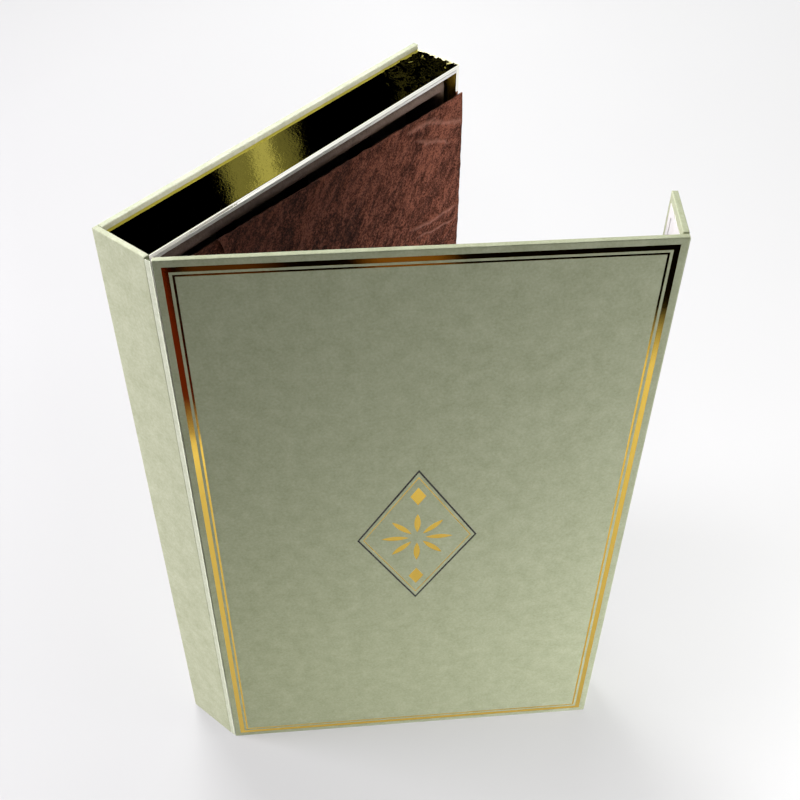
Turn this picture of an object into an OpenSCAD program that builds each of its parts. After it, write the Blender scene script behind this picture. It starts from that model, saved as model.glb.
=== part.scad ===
// Book-style rigid gift box with a hinged lid and a folding fore flap, standing on its short end.
// Built as such boxes are made: greyboard panels wrapped in paper, a foil-covered board tray
// glued to spine and base, a card collar and slotted dividers inside, and padded cover sheets.
// Frame of the part: +Z up the long side, the tray opens towards -Y, and the origin lies under
// the middle of the opened box. The modules are drawn in the tray's frame, whose Z axis is the
// crease between spine and lid, or in the lid's and the flap's own frames, which turn about
// their creases.

/* [Case] */
// Long side of the case, which stands upright
case_l = 320; // [240:1:400]
// Thickness of the closed case
case_t = 31; // [26:0.5:48]
// Width of the base panel with the spine
base_w = 185.2; // [150:0.1:240]
// Room between the tray's fore wall and the closed flap
flap_room = 3.8; // [3.6:0.1:6]
// Step by which the closed flap ends short of the base's outer face
flap_short = 1; // [0.5:0.1:3]
// Opening of the lid as it stands, in degrees
lid_open = 46; // [20:1:120]
// Lean of the flap past square as it stands, in degrees
flap_lean = 6; // [0:1:60]

/* [Boards and papers] */
// Greyboard of the case panels
board_t = 2; // [1.5:0.1:3]
// Cover paper with its glue
wrap_t = 0.25; // [0.15:0.01:0.4]
// Lining paper of lid and flap
liner_t = 0.2; // [0.12:0.01:0.3]
// Turn-in of the cover paper on the inner faces
turn_in = 15; // [8:0.5:20]
// Turn-in of the flap's narrow panel
flap_turn_in = 7; // [5:0.5:9]
// Strip of cover paper left showing round a lining
liner_margin = 3.5; // [2:0.1:6]
// Rounding of a paper-wrapped board edge
edge_r = 0.4; // [0.2:0.05:0.8]
// Cut between two mitred turn-ins
mitre_gap = 0.2; // [0.1:0.05:0.4]
// Clearance between a lining and the folded edge of the cover paper
liner_clear = 0.1; // [0.05:0.01:0.3]

/* [Creases] */
// Set-back of the lid's panel from its two creases
lid_setback = 0.3; // [0.2:0.05:0.8]
// Clearance between a folded panel's edge and the lid's inner face
fold_clear = 0.7; // [0.6:0.05:1.5]
// Laminated papers in the crease between spine and lid
crease_t = 0.45; // [0.3:0.05:0.6]
// Clearance between the crease paper and the panel that turns
crease_clear = 0.12; // [0.08:0.01:0.3]
// Height left free at both ends of a crease paper
crease_end = 0.6; // [0.3:0.1:2]

/* [Foil stamping] */
// Distance of the foil border from the lid panel's edges
border_inset = 2.9; // [2:0.1:12]
// Width of the border's outer band
band_w = 2.3; // [1:0.1:5]
// Gap between band and fine line
band_gap = 1.1; // [0.6:0.1:3]
// Width of the fine line
line_w = 0.9; // [0.4:0.1:2]
// Thickness of the stamped foil
stamp_t = 0.06; // [0.03:0.01:0.1]
// Depth of the foil's face below the paper
stamp_depth = 0.04; // [0.02:0.01:0.08]
// Height of the lozenge ornament
ornament_h = 90; // [60:1:120]
// Width of the lozenge ornament
ornament_w = 54; // [36:1:70]
// Line of the lozenge
ornament_line = 0.9; // [0.5:0.1:1.5]

/* [Tray] */
// Room between the closed lid's inner face and the tray's rim
rim_room = 2.5; // [2.4:0.1:4]
// Height of base and spine panels past the tray's end walls
tray_inset = 1.9; // [1.5:0.1:6]
// Greyboard of the tray
tray_board = 1.5; // [1.4:0.1:2.5]
// Mirror foil paper over the tray
foil_t = 0.15; // [0.1:0.01:0.25]
// Depth of the foil's turn-in behind the rim
foil_turn = 16; // [8:1:18]
// Width of the foil's turn-under below the tray
foil_under = 12; // [6:1:20]
// Paper stay glued round a tray corner
stay_t = 0.1; // [0.06:0.01:0.2]
// Leg of a corner stay
stay_leg = 12; // [6:1:18]
// Glue line between the tray and the case
glue_t = 0.1; // [0.05:0.01:0.2]
// Card strip that lines the tray's end walls
lining_t = 1.2; // [0.4:0.05:1.5]

/* [Closure] */
// Magnets in the flap, each with its keeper in the fore wall
magnet_count = 2; // [2:1:5]
// Diameter of a magnet and of its keeper
magnet_d = 14; // [10:0.5:16]
// Thickness of a magnet
magnet_t = 1.2; // [0.8:0.1:1.3]
// Thickness of a steel keeper
keeper_t = 1; // [0.6:0.1:1.2]
// Height of the first and last magnet, as a share of the long side
magnet_share = 0.22; // [0.12:0.01:0.35]

/* [Inner fittings] */
// Depth of the collar's face below the rim
collar_drop = 2.5; // [2.3:0.1:4]
// Card of the collar
collar_t = 0.8; // [0.5:0.05:1.2]
// Width of the collar's face
collar_w = 7.2; // [5:0.1:12]
// Running clearance of the inner fittings
inner_gap = 0.3; // [0.2:0.05:0.5]
// Card of the dividers
divider_t = 0.9; // [0.6:0.05:1.4]
// Height of the dividers above the tray's floor
divider_h = 12.5; // [8:0.5:14]
// Clearance of a half-lap slot on each side of the crossing card
slot_clear = 0.15; // [0.1:0.01:0.3]

/* [Padded sheets] */
// Thickness of a padded sheet at its crown
pad_t = 1.4; // [1:0.1:1.6]
// Width of both sheets
pad_w = 150.4; // [120:0.1:152]
// Reach of the front sheet past the tray's fore wall
pad_reach = 0.5; // [0.2:0.1:0.8]
// Bow of the front sheet's fore edge
pad_bow = 2; // [0:0.1:2.2]
// Step of the front sheet's top edge below the tray's head wall, at the spine side
pad_drop = 7.1; // [3:0.1:20]
// Further fall of that edge towards the fore side
pad_fall = 3.6; // [0:0.1:8]
// Gap between the rear sheet and the collar's spine end
rear_gap = 3.2; // [0.5:0.1:12]
// Step of the rear sheet's top edge below the tray's head wall
rear_drop = 8.1; // [3:0.1:20]
// Further fall of that edge towards the fore side
rear_fall = 6; // [0:0.1:8]

/* [Hidden] */
$fn = 48;

// Overrun of a cut past the face it opens
over = 1;

// Panels
panel_t = board_t + 2 * wrap_t;
lid_w = base_w + panel_t + flap_room;
flap_l = case_t - flap_short;
inner_face = panel_t + liner_t;
fold_start = inner_face + fold_clear - liner_t;

// Tray box, outside of its foil
tray_x0 = panel_t + glue_t;
tray_x1 = base_w - glue_t;
tray_y0 = panel_t + rim_room;
tray_y1 = case_t - panel_t - glue_t;
tray_z0 = tray_inset;
tray_z1 = case_l - tray_inset;
skin_t = foil_t + stay_t;

// Clear space inside the tray's foil turn-in, and inside its end linings
wall_t = skin_t + tray_board + foil_t;
lined_t = wall_t + lining_t;
floor_y = tray_y1 - skin_t - tray_board;

// Cells across and along the tray, with one node for each card between them
cells_x = 4;
cells_z = 7;

// Collar and dividers
collar_y = tray_y0 + collar_drop;
collar_x0 = tray_x0 + wall_t + inner_gap;
collar_x1 = tray_x1 - wall_t - inner_gap;
collar_z0 = tray_z0 + lined_t + inner_gap;
collar_z1 = tray_z1 - lined_t - inner_gap;
well_x0 = collar_x0 + collar_w + collar_t;
well_x1 = collar_x1 - collar_w - collar_t;
well_z0 = collar_z0 + collar_w + collar_t;
well_z1 = collar_z1 - collar_w - collar_t;
seat_y = floor_y - inner_gap;
pitch_x = (well_x1 - well_x0) / cells_x;
pitch_z = (well_z1 - well_z0) / cells_z;
slot_w = divider_t + 2 * slot_clear;

// Opened box: its foremost corner, and the part's origin under the middle of its bounds
fore_y = -(lid_w - lid_setback - edge_r) * sin(lid_open) + edge_r * cos(lid_open) - edge_r;
origin_x = (tray_x1 + pad_reach + pad_bow) / 2;
origin_y = (case_t + fore_y) / 2;

// Colours
sage = [0.63, 0.66, 0.53];
sage_pale = [0.74, 0.76, 0.66];
grey_board = [0.55, 0.53, 0.50];
gold = [0.80, 0.64, 0.22];
cream = [0.93, 0.92, 0.86];
taupe = [0.68, 0.61, 0.55];
cocoa = [0.42, 0.25, 0.21];
dark_card = [0.20, 0.15, 0.12];
steel = [0.66, 0.67, 0.69];
ink = [0.05, 0.05, 0.05];

// Moves a piece drawn in the tray's frame to the part's frame
module in_part() {
    translate([-origin_x, -origin_y, 0]) children();
}

// Places a piece drawn in the lid's frame: X from the spine crease, Y inwards from the outer face
module on_lid() {
    in_part() rotate([0, 0, -lid_open]) children();
}

// Places a piece drawn in the flap's frame: Y from the fore crease, -X inwards from the outer face
module on_flap() {
    on_lid() translate([lid_w, 0, 0]) rotate([0, 0, -flap_lean]) children();
}

// Rectangle with round corners, its lower left corner at the origin
module round_rect(w, h, r) {
    translate([r, 0]) square([w - 2 * r, h]);
    translate([0, r]) square([w, h - 2 * r]);
    for (x = [r, w - r], y = [r, h - r])
        translate([x, y]) circle(r);
}

// Panel with softly rounded edges, as paper takes them over a board
module soft_panel(size, r) {
    intersection() {
        linear_extrude(size.z) round_rect(size.x, size.y, r);
        translate([0, size.y, 0]) rotate([90, 0, 0])
            linear_extrude(size.y) round_rect(size.x, size.z, r);
        rotate([90, 0, 90]) linear_extrude(size.x) round_rect(size.y, size.z, r);
    }
}

// Cover paper of one panel: outer face, four edges, and turn-ins at both ends and, where
// far_turn says so, along the free edge at X = w
module panel_wrap(w, turn, far_turn) {
    far = far_turn ? turn : wrap_t;
    difference() {
        soft_panel([w, panel_t, case_l], edge_r);
        translate([wrap_t, wrap_t, wrap_t])
            cube([w - 2 * wrap_t, board_t, case_l - 2 * wrap_t]);
        translate([wrap_t, board_t, turn])
            cube([w - wrap_t - far, panel_t, case_l - 2 * turn]);
        if (far_turn)
            for (z = [0, case_l])
                translate([w, wrap_t + board_t - over, z])
                    rotate([0, z == 0 ? -45 : 45, 0])
                        translate([-turn * sqrt(2), 0, -mitre_gap / 2])
                            cube([turn * sqrt(2) - panel_t, wrap_t + 2 * over, mitre_gap]);
    }
}

// Greyboard of one panel
module panel_board(w) {
    translate([wrap_t, wrap_t, wrap_t])
        cube([w - 2 * wrap_t, board_t, case_l - 2 * wrap_t]);
}

// Lining sheet of one panel: it lies on the turn-ins and steps down to the board between them
module panel_liner(w, turn, far, far_turn) {
    near = wrap_t + liner_clear;
    far_step = far_turn ? turn : near;
    difference() {
        union() {
            translate([near, panel_t, liner_margin])
                cube([w - near - far, liner_t, case_l - 2 * liner_margin]);
            translate([near, wrap_t + board_t, turn])
                cube([w - near - far_step, wrap_t + liner_t, case_l - 2 * turn]);
        }
        translate([near + liner_t, wrap_t + board_t + liner_t, turn + liner_t])
            cube([w - near - far_step - 2 * liner_t, over, case_l - 2 * (turn + liner_t)]);
    }
}

module base_panel_place() {
    in_part() translate([panel_t, case_t, 0]) mirror([0, 1, 0]) children();
}

module base_board() {
    color(grey_board) base_panel_place() panel_board(base_w - panel_t);
}

module base_wrap() {
    color(sage) base_panel_place() panel_wrap(base_w - panel_t, turn_in, true);
}

// The spine is drawn as a panel along X and turned so that it runs from the lid crease to the base
module spine_panel_place() {
    in_part() translate([0, fold_start, 0]) mirror([1, 0, 0]) rotate([0, 0, 90]) children();
}

module spine_board() {
    color(grey_board) spine_panel_place() panel_board(case_t - fold_start);
}

module spine_wrap() {
    color(sage_pale) spine_panel_place() panel_wrap(case_t - fold_start, turn_in, false);
}

// Point of a cubic curve, and its unit normal to the left of the way it runs
function curve(p, t) = pow(1 - t, 3) * p[0] + 3 * t * pow(1 - t, 2) * p[1]
    + 3 * t * t * (1 - t) * p[2] + pow(t, 3) * p[3];
function curve_way(p, t) = pow(1 - t, 2) * (p[1] - p[0]) + 2 * t * (1 - t) * (p[2] - p[1])
    + t * t * (p[3] - p[2]);
function left_of(v) = [-v.y, v.x] / norm(v);
curve_steps = 8;

// Sheet of crease paper along a cubic curve, of thickness t to the left of its way
module crease_sheet(p, t) {
    outer = [for (i = [0 : curve_steps]) curve(p, i / curve_steps)];
    inner = [for (i = [curve_steps : -1 : 0])
        curve(p, i / curve_steps) + t * left_of(curve_way(p, i / curve_steps))];
    translate([0, 0, crease_end])
        linear_extrude(case_l - 2 * crease_end) polygon(concat(outer, inner));
}

// Point at a distance s from the spine crease and a depth d inside the lid's outer face
function lid_point(s, d) = [s * cos(lid_open) + d * sin(lid_open),
                            d * cos(lid_open) - s * sin(lid_open)];

// Crease between spine and lid: straight off the spine, then drawn in before the lid's edge
module lid_hinge_paper() {
    from = [0, fold_start];
    to = lid_point(lid_setback - crease_clear - crease_t, crease_clear);
    pull = fold_start / 2;
    color(sage_pale) in_part()
        crease_sheet([from, from - [0, pull], to + [crease_t, pull / 2], to], crease_t);
}

// Crease between lid and flap, of cover paper alone, drawn in the flap's frame from the lid's
// edge round the corner
module flap_hinge_paper() {
    lid_edge = [-lid_setback, 0];
    turned = [lid_edge.x * cos(flap_lean) - crease_clear * sin(flap_lean),
              lid_edge.x * sin(flap_lean) + crease_clear * cos(flap_lean)];
    from = turned + [crease_clear, 0];
    to = [0, fold_start - crease_clear];
    color(sage) on_flap()
        crease_sheet([from, from + [crease_t, 0], to - [0, fold_start / 2], to], wrap_t);
}

// Tray
module tray_floor() {
    color(grey_board) in_part()
        translate([tray_x0 + skin_t, floor_y, tray_z0 + skin_t])
            cube([tray_x1 - tray_x0 - 2 * skin_t, tray_board, tray_z1 - tray_z0 - 2 * skin_t]);
}

// Side wall between the head and tail walls, with its outer face at x
module side_wall(x) {
    translate([x, tray_y0 + foil_t, tray_z0 + skin_t + tray_board])
        cube([tray_board, floor_y - tray_y0 - foil_t,
              tray_z1 - tray_z0 - 2 * (skin_t + tray_board)]);
}

// End wall over the full width of the tray, with its lower face at z
module end_wall(z) {
    translate([tray_x0 + skin_t, tray_y0 + foil_t, z])
        cube([tray_x1 - tray_x0 - 2 * skin_t, floor_y - tray_y0 - foil_t, tray_board]);
}

module tray_spine_wall() {
    color(grey_board) in_part() side_wall(tray_x0 + skin_t);
}

// The fore wall has a blind pocket for each keeper, open to the outside under the foil
module tray_fore_wall() {
    color(grey_board) in_part() difference() {
        side_wall(tray_x1 - skin_t - tray_board);
        keepers(keeper_t + over);
    }
}

module tray_head_wall() {
    color(grey_board) in_part() end_wall(tray_z1 - skin_t - tray_board);
}

module tray_tail_wall() {
    color(grey_board) in_part() end_wall(tray_z0 + skin_t);
}

// Heights of the magnets, shared by flap and fore wall
function magnet_z(i) = case_l * (magnet_share + (1 - 2 * magnet_share) * i / (magnet_count - 1));
magnet_f = (tray_y0 + floor_y) / 2;

// Keepers in the fore wall, their inner faces on the pockets' floors
module keepers(length) {
    for (i = [0 : magnet_count - 1])
        translate([tray_x1 - skin_t - keeper_t, magnet_f, magnet_z(i)])
            rotate([0, 90, 0]) cylinder(h = length, d = magnet_d);
}

module keeper_discs() {
    color(steel) in_part() keepers(keeper_t);
}

// Paper angle round each upright corner of the tray, between board and foil
module corner_stays() {
    color(cream) in_part()
        for (mx = [0, 1], mz = [0, 1])
            translate([mx == 0 ? tray_x0 + foil_t : tray_x1 - foil_t, tray_y0 + foil_t,
                       mz == 0 ? tray_z0 + foil_t : tray_z1 - foil_t])
                mirror([mx, 0, 0]) mirror([0, 0, mz])
                    difference() {
                        cube([stay_leg, floor_y - tray_y0 - foil_t, stay_leg]);
                        translate([stay_t, -over, stay_t])
                            cube([stay_leg, case_t, stay_leg]);
                    }
}

// Box inside the tray's outline, set in by d on the four sides, from y0 to y1
module tray_block(d, y0, y1) {
    translate([tray_x0 + d, y0, tray_z0 + d])
        cube([tray_x1 - tray_x0 - 2 * d, y1 - y0, tray_z1 - tray_z0 - 2 * d]);
}

// Mirror foil: outer walls, rim, turn-in behind the rim and turn-under below the floor
module tray_foil_wrap() {
    color(gold) in_part() difference() {
        union() {
            difference() {
                tray_block(0, tray_y0, tray_y1);
                tray_block(foil_t, tray_y0 + foil_t, tray_y1 - foil_t);
            }
            tray_block(wall_t - foil_t, tray_y0, tray_y0 + foil_turn);
        }
        tray_block(wall_t, tray_y0 - over, tray_y0 + foil_turn + over);
        tray_block(foil_under, tray_y1 - foil_t - over, tray_y1 + over);
    }
}

// Card strips inside the head and tail walls, level with the rim
module tray_lining() {
    color(cream) in_part()
        for (z = [tray_z0 + wall_t, tray_z1 - lined_t])
            translate([tray_x0 + wall_t, tray_y0, z])
                cube([tray_x1 - tray_x0 - 2 * wall_t, floor_y - tray_y0, lining_t]);
}

// Box between the collar's outline set in by d, from y0 to y1
module collar_block(d, y0, y1) {
    translate([collar_x0 + d, y0, collar_z0 + d])
        cube([collar_x1 - collar_x0 - 2 * d, y1 - y0, collar_z1 - collar_z0 - 2 * d]);
}

// Folded card collar: a face round the mouth and four walls down to the tray's floor
module insert_collar() {
    color(taupe) in_part() difference() {
        union() {
            collar_block(0, collar_y, collar_y + collar_t);
            collar_block(collar_w, collar_y, seat_y);
        }
        collar_block(collar_w + collar_t, collar_y - over, seat_y + over);
    }
}

// Divider card along X or Z, half lapped: its slots take the crossing cards
module divider(length, slots, slot_from) {
    difference() {
        cube([length, divider_h, divider_t]);
        for (at = slots)
            translate([at - slot_w / 2, slot_from, -over])
                cube([slot_w, divider_h / 2 + slot_clear + over, divider_t + 2 * over]);
    }
}

// Card i along the tray, slotted from its front edge
module long_divider(i) {
    length = well_z1 - well_z0 - 2 * inner_gap;
    slots = [for (k = [1 : cells_z - 1]) k * pitch_z - inner_gap];
    color(dark_card) in_part()
        translate([well_x0 + i * pitch_x + divider_t / 2, seat_y - divider_h, well_z0 + inner_gap])
            rotate([0, -90, 0]) divider(length, slots, -over - slot_clear / 2);
}

// Card k across the tray, slotted from its rear edge
module cross_divider(k) {
    length = well_x1 - well_x0 - 2 * inner_gap;
    slots = [for (i = [1 : cells_x - 1]) i * pitch_x - inner_gap];
    color(dark_card) in_part()
        translate([well_x0 + inner_gap, seat_y - divider_h, well_z0 + k * pitch_z - divider_t / 2])
            divider(length, slots, divider_h / 2 - slot_clear / 2);
}

// Padded sheet over the outline from [x0, z0] to [x1, z1], its top edge falling by fall to the
// right, its right edge bowed out by bow. Its middle lies at depth y and it thins towards its
// edges. Waves are creases of the sheet.
pad_columns = 14;
pad_rows = 20;
pad_edge_share = 0.4;
pad_wave_share = 0.1;
pad_square = 6;
pad_wave_turns = [1.6, 3.4];

module padded_sheet(x0, x1, z0, z1, fall, bow, y) {
    function thick(a, b) = pad_t / 2 * (pad_edge_share + (1 - pad_edge_share)
        * (1 - pow(2 * a - 1, pad_square)) * (1 - pow(2 * b - 1, pad_square)));
    function wave(a, b) = pad_t * pad_wave_share
        * sin(360 * (pad_wave_turns[0] * a + pad_wave_turns[1] * b));
    function at(a, b, side) = [x0 + (x1 - x0 + bow * sin(180 * b)) * a,
                               y + wave(a, b) + side * thick(a, b),
                               z0 + (z1 - fall * a - z0) * b];
    per = (pad_columns + 1) * (pad_rows + 1);
    function id(i, j, back) = i + j * (pad_columns + 1) + back * per;
    rim = concat([for (i = [0 : pad_columns - 1]) [i, 0]],
                 [for (j = [0 : pad_rows - 1]) [pad_columns, j]],
                 [for (i = [pad_columns : -1 : 1]) [i, pad_rows]],
                 [for (j = [pad_rows : -1 : 1]) [0, j]]);
    points = [for (side = [-1, 1], j = [0 : pad_rows], i = [0 : pad_columns])
        at(i / pad_columns, j / pad_rows, side)];
    front = [for (j = [0 : pad_rows - 1], i = [0 : pad_columns - 1], half = [0, 1])
        half == 0 ? [id(i, j, 0), id(i + 1, j + 1, 0), id(i + 1, j, 0)]
                  : [id(i, j, 0), id(i, j + 1, 0), id(i + 1, j + 1, 0)]];
    back = [for (j = [0 : pad_rows - 1], i = [0 : pad_columns - 1], half = [0, 1])
        half == 0 ? [id(i, j, 1), id(i + 1, j, 1), id(i + 1, j + 1, 1)]
                  : [id(i, j, 1), id(i + 1, j + 1, 1), id(i, j + 1, 1)]];
    edge = [for (k = [0 : len(rim) - 1], half = [0, 1])
        let (p = rim[k], q = rim[(k + 1) % len(rim)])
        half == 0 ? [id(p[0], p[1], 0), id(q[0], q[1], 0), id(q[0], q[1], 1)]
                  : [id(p[0], p[1], 0), id(q[0], q[1], 1), id(p[0], p[1], 1)]];
    polyhedron(points, concat(front, back, edge));
}

// Room for padding between the closed lid and the rim
pad_y = (inner_face + tray_y0) / 2;
rear_pad_y = collar_y - inner_gap - pad_t * (1 / 2 + pad_wave_share);
rear_pad_x0 = collar_x0 + rear_gap;
front_pad_x1 = tray_x1 + pad_reach;

// Rear sheet, lying on the collar towards the spine
module rear_pad() {
    color(cocoa) in_part()
        padded_sheet(rear_pad_x0, rear_pad_x0 + pad_w, collar_z0,
                     tray_z1 - lined_t - rear_drop, rear_fall, 0, rear_pad_y);
}

// Front sheet, slid to the fore side, where it rests on the rim
module front_pad() {
    color(cocoa) in_part()
        padded_sheet(front_pad_x1 - pad_w, front_pad_x1, collar_z0,
                     tray_z1 - lined_t - pad_drop, pad_fall, pad_bow, pad_y);
}

// Lid
lid_panel_w = lid_w - 2 * lid_setback;

module lid_panel_place() {
    on_lid() translate([lid_setback, 0, 0]) children();
}

// Flat frame on the lid's outer face, from inset to inset + w, between two depths
module border_frame(inset, w, y0, y1) {
    translate([inset, y0, inset]) difference() {
        cube([lid_panel_w - 2 * inset, y1 - y0, case_l - 2 * inset]);
        translate([w, -over, w])
            cube([lid_panel_w - 2 * (inset + w), y1 - y0 + 2 * over, case_l - 2 * (inset + w)]);
    }
}

// Ornament: an eight-petalled rosette and two small lozenges inside a lozenge of two lines
lozenge_step = 3 * ornament_line;
fine_line_share = 0.5;
petal_share = 0.6;
petal_eye_share = 0.22;
petal_round_share = 1.15;
drop_share = 0.31;
drop_size_share = 0.13;

module lozenge(w, h) {
    polygon([[w / 2, 0], [0, h / 2], [-w / 2, 0], [0, -h / 2]]);
}

module lozenge_line(w, h, line) {
    inner_share = 1 - line * 2 * norm([w, h]) / (w * h);
    difference() {
        lozenge(w, h);
        lozenge(inner_share * w, inner_share * h);
    }
}

// Petal between two arcs, from the eye of the rosette outwards
module petal() {
    reach = petal_share * ornament_w / 2;
    eye = petal_eye_share * reach;
    half = (reach - eye) / 2;
    r = petal_round_share * (reach - eye);
    offset = sqrt(r * r - half * half);
    intersection() {
        translate([eye + half, offset]) circle(r);
        translate([eye + half, -offset]) circle(r);
    }
}

module gold_shape() {
    lozenge_line(ornament_w - 2 * lozenge_step,
                 ornament_h - 2 * lozenge_step * ornament_h / ornament_w,
                 ornament_line * fine_line_share);
    for (i = [0 : 7])
        rotate(i * 45) petal();
    for (way = [-1, 1])
        translate([0, way * drop_share * ornament_h])
            lozenge(drop_size_share * ornament_w, drop_size_share * ornament_h);
}

module dark_shape() {
    lozenge_line(ornament_w, ornament_h, ornament_line);
}

// Stamps a flat shape in the middle of the lid's outer face, between two depths
module stamp(y0, y1) {
    translate([lid_panel_w / 2, y1, case_l / 2]) rotate([90, 0, 0])
        linear_extrude(y1 - y0) children();
}

fine_inset = border_inset + band_w + band_gap;
stamp_y = stamp_depth + stamp_t;

module lid_board() {
    color(grey_board) lid_panel_place() panel_board(lid_panel_w);
}

// Cover paper of the lid, with the stamped places pressed in
module lid_wrap() {
    color(sage) lid_panel_place() difference() {
        panel_wrap(lid_panel_w, turn_in, false);
        border_frame(border_inset, band_w, -over, stamp_y);
        border_frame(fine_inset, line_w, -over, stamp_y);
        stamp(-over, stamp_y) gold_shape();
        stamp(-over, stamp_y) dark_shape();
    }
}

module lid_liner() {
    color(cream) lid_panel_place()
        panel_liner(lid_panel_w, turn_in, wrap_t + liner_clear, false);
}

module foil_border_band() {
    color(gold) lid_panel_place() border_frame(border_inset, band_w, stamp_depth, stamp_y);
}

module foil_border_line() {
    color(gold) lid_panel_place() border_frame(fine_inset, line_w, stamp_depth, stamp_y);
}

module foil_ornament() {
    color(gold) lid_panel_place() stamp(stamp_depth, stamp_y) gold_shape();
}

module pigment_lozenge() {
    color(ink) lid_panel_place() stamp(stamp_depth, stamp_y) dark_shape();
}

// Flap: drawn as a panel along X and turned so that X runs away from the fore crease
module flap_panel_place() {
    on_flap() translate([0, fold_start, 0]) rotate([0, 0, 90]) children();
}

// Magnets against the flap board's inner face, opposite the keepers
module magnets(length) {
    for (i = [0 : magnet_count - 1])
        translate([magnet_f - fold_start, wrap_t + board_t - magnet_t, magnet_z(i)])
            rotate([-90, 0, 0]) cylinder(h = length, d = magnet_d);
}

module flap_board() {
    color(grey_board) flap_panel_place() difference() {
        panel_board(flap_l - fold_start);
        magnets(magnet_t + over);
    }
}

module flap_wrap() {
    color(sage) flap_panel_place() panel_wrap(flap_l - fold_start, flap_turn_in, true);
}

module flap_liner() {
    color(cream) flap_panel_place()
        panel_liner(flap_l - fold_start, flap_turn_in, liner_margin, true);
}

module flap_magnets() {
    color(steel) flap_panel_place() magnets(magnet_t);
}

base_board();
base_wrap();
spine_board();
spine_wrap();
lid_hinge_paper();
tray_floor();
tray_spine_wall();
tray_fore_wall();
tray_head_wall();
tray_tail_wall();
corner_stays();
tray_foil_wrap();
tray_lining();
keeper_discs();
insert_collar();
long_divider(1);  // long_divider_1
long_divider(2);  // long_divider_2
long_divider(3);  // long_divider_3
cross_divider(1);  // cross_divider_1
cross_divider(2);  // cross_divider_2
cross_divider(3);  // cross_divider_3
cross_divider(4);  // cross_divider_4
cross_divider(5);  // cross_divider_5
cross_divider(6);  // cross_divider_6
rear_pad();
front_pad();
lid_board();
lid_wrap();
lid_liner();
foil_border_band();
foil_border_line();
foil_ornament();
pigment_lozenge();
flap_hinge_paper();
flap_board();
flap_wrap();
flap_liner();
flap_magnets();
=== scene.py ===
"""Dresses the hinged gift box: paper case, mirror foil tray, card fittings and padded sheets."""

import logging
import math
from collections.abc import Callable
from dataclasses import dataclass
from enum import Enum
from typing import Any

import bmesh
import bpy
from mathutils import Matrix
from mathutils import Vector
from mathutils import noise

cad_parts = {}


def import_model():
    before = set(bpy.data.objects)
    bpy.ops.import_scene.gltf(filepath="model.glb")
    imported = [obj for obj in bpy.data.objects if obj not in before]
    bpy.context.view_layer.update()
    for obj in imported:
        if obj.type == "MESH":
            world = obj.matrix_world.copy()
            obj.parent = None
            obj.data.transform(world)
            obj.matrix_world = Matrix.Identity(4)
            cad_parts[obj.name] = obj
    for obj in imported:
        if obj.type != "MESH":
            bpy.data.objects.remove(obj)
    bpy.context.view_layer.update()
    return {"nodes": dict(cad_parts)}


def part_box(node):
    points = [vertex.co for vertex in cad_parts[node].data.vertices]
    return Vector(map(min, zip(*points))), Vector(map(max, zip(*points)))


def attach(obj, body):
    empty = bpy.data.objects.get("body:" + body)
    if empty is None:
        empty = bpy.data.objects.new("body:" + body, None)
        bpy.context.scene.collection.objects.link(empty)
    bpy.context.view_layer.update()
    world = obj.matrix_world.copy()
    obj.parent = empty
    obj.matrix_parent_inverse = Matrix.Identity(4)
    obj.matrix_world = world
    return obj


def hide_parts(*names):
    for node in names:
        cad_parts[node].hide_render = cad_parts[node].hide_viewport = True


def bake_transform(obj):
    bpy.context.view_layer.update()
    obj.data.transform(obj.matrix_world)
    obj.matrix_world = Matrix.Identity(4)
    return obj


log = logging.getLogger("gift_box")

MM = 0.001
# The tray's frame in the part's frame: the crease between spine and lid stands at this place
CREASE = Vector((-0.0938, 0.053186, 0.0))
# Opening of the lid and lean of the flap at rest, in degrees
LID_OPEN = 46.0
FLAP_LEAN = 6.0
# Width of the lid and length of the long side, in mm
LID_WIDTH = 191.5
CASE_LENGTH = 320.0
# Way in which the tray's mouth and the sheets' faces look
MOUTH_WAY = (0.0, -1.0, 0.0)


def linear(code: str) -> tuple[float, float, float, float]:
    """Turns an sRGB hex colour to a linear one.

    Args:
        code: Colour such as "#A0B0C0".

    Returns:
        Red, green, blue and alpha, from 0 to 1.
    """
    parts = [int(code[i:i + 2], 16) / 255 for i in (1, 3, 5)]
    red, green, blue = [c / 12.92 if c <= 0.04045 else ((c + 0.055) / 1.055) ** 2.4 for c in parts]
    return (red, green, blue, 1.0)


def tray_point(x: float, y: float, z: float) -> Vector:
    """Gives a point of the tray's frame, in mm, in the part's frame, in metres."""
    return CREASE + Vector((x, y, z)) * MM


def turned(x: float, y: float, degrees: float) -> tuple[float, float]:
    """Turns a point about the origin, seen from above."""
    angle = math.radians(degrees)
    return (x * math.cos(angle) - y * math.sin(angle), x * math.sin(angle) + y * math.cos(angle))


def lid_point(s: float, depth: float, z: float = 0.0) -> Vector:
    """Gives a point of the lid: s from the spine crease, depth inwards from the outer face, in mm."""
    x, y = turned(s, depth, -LID_OPEN)
    return tray_point(x, y, z)


def flap_point(x: float, y: float, z: float = 0.0) -> Vector:
    """Gives a point of the flap: y along the flap from its crease, -x inwards, in mm."""
    s, depth = turned(x, y, -FLAP_LEAN)
    return lid_point(LID_WIDTH + s, depth, z)


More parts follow.
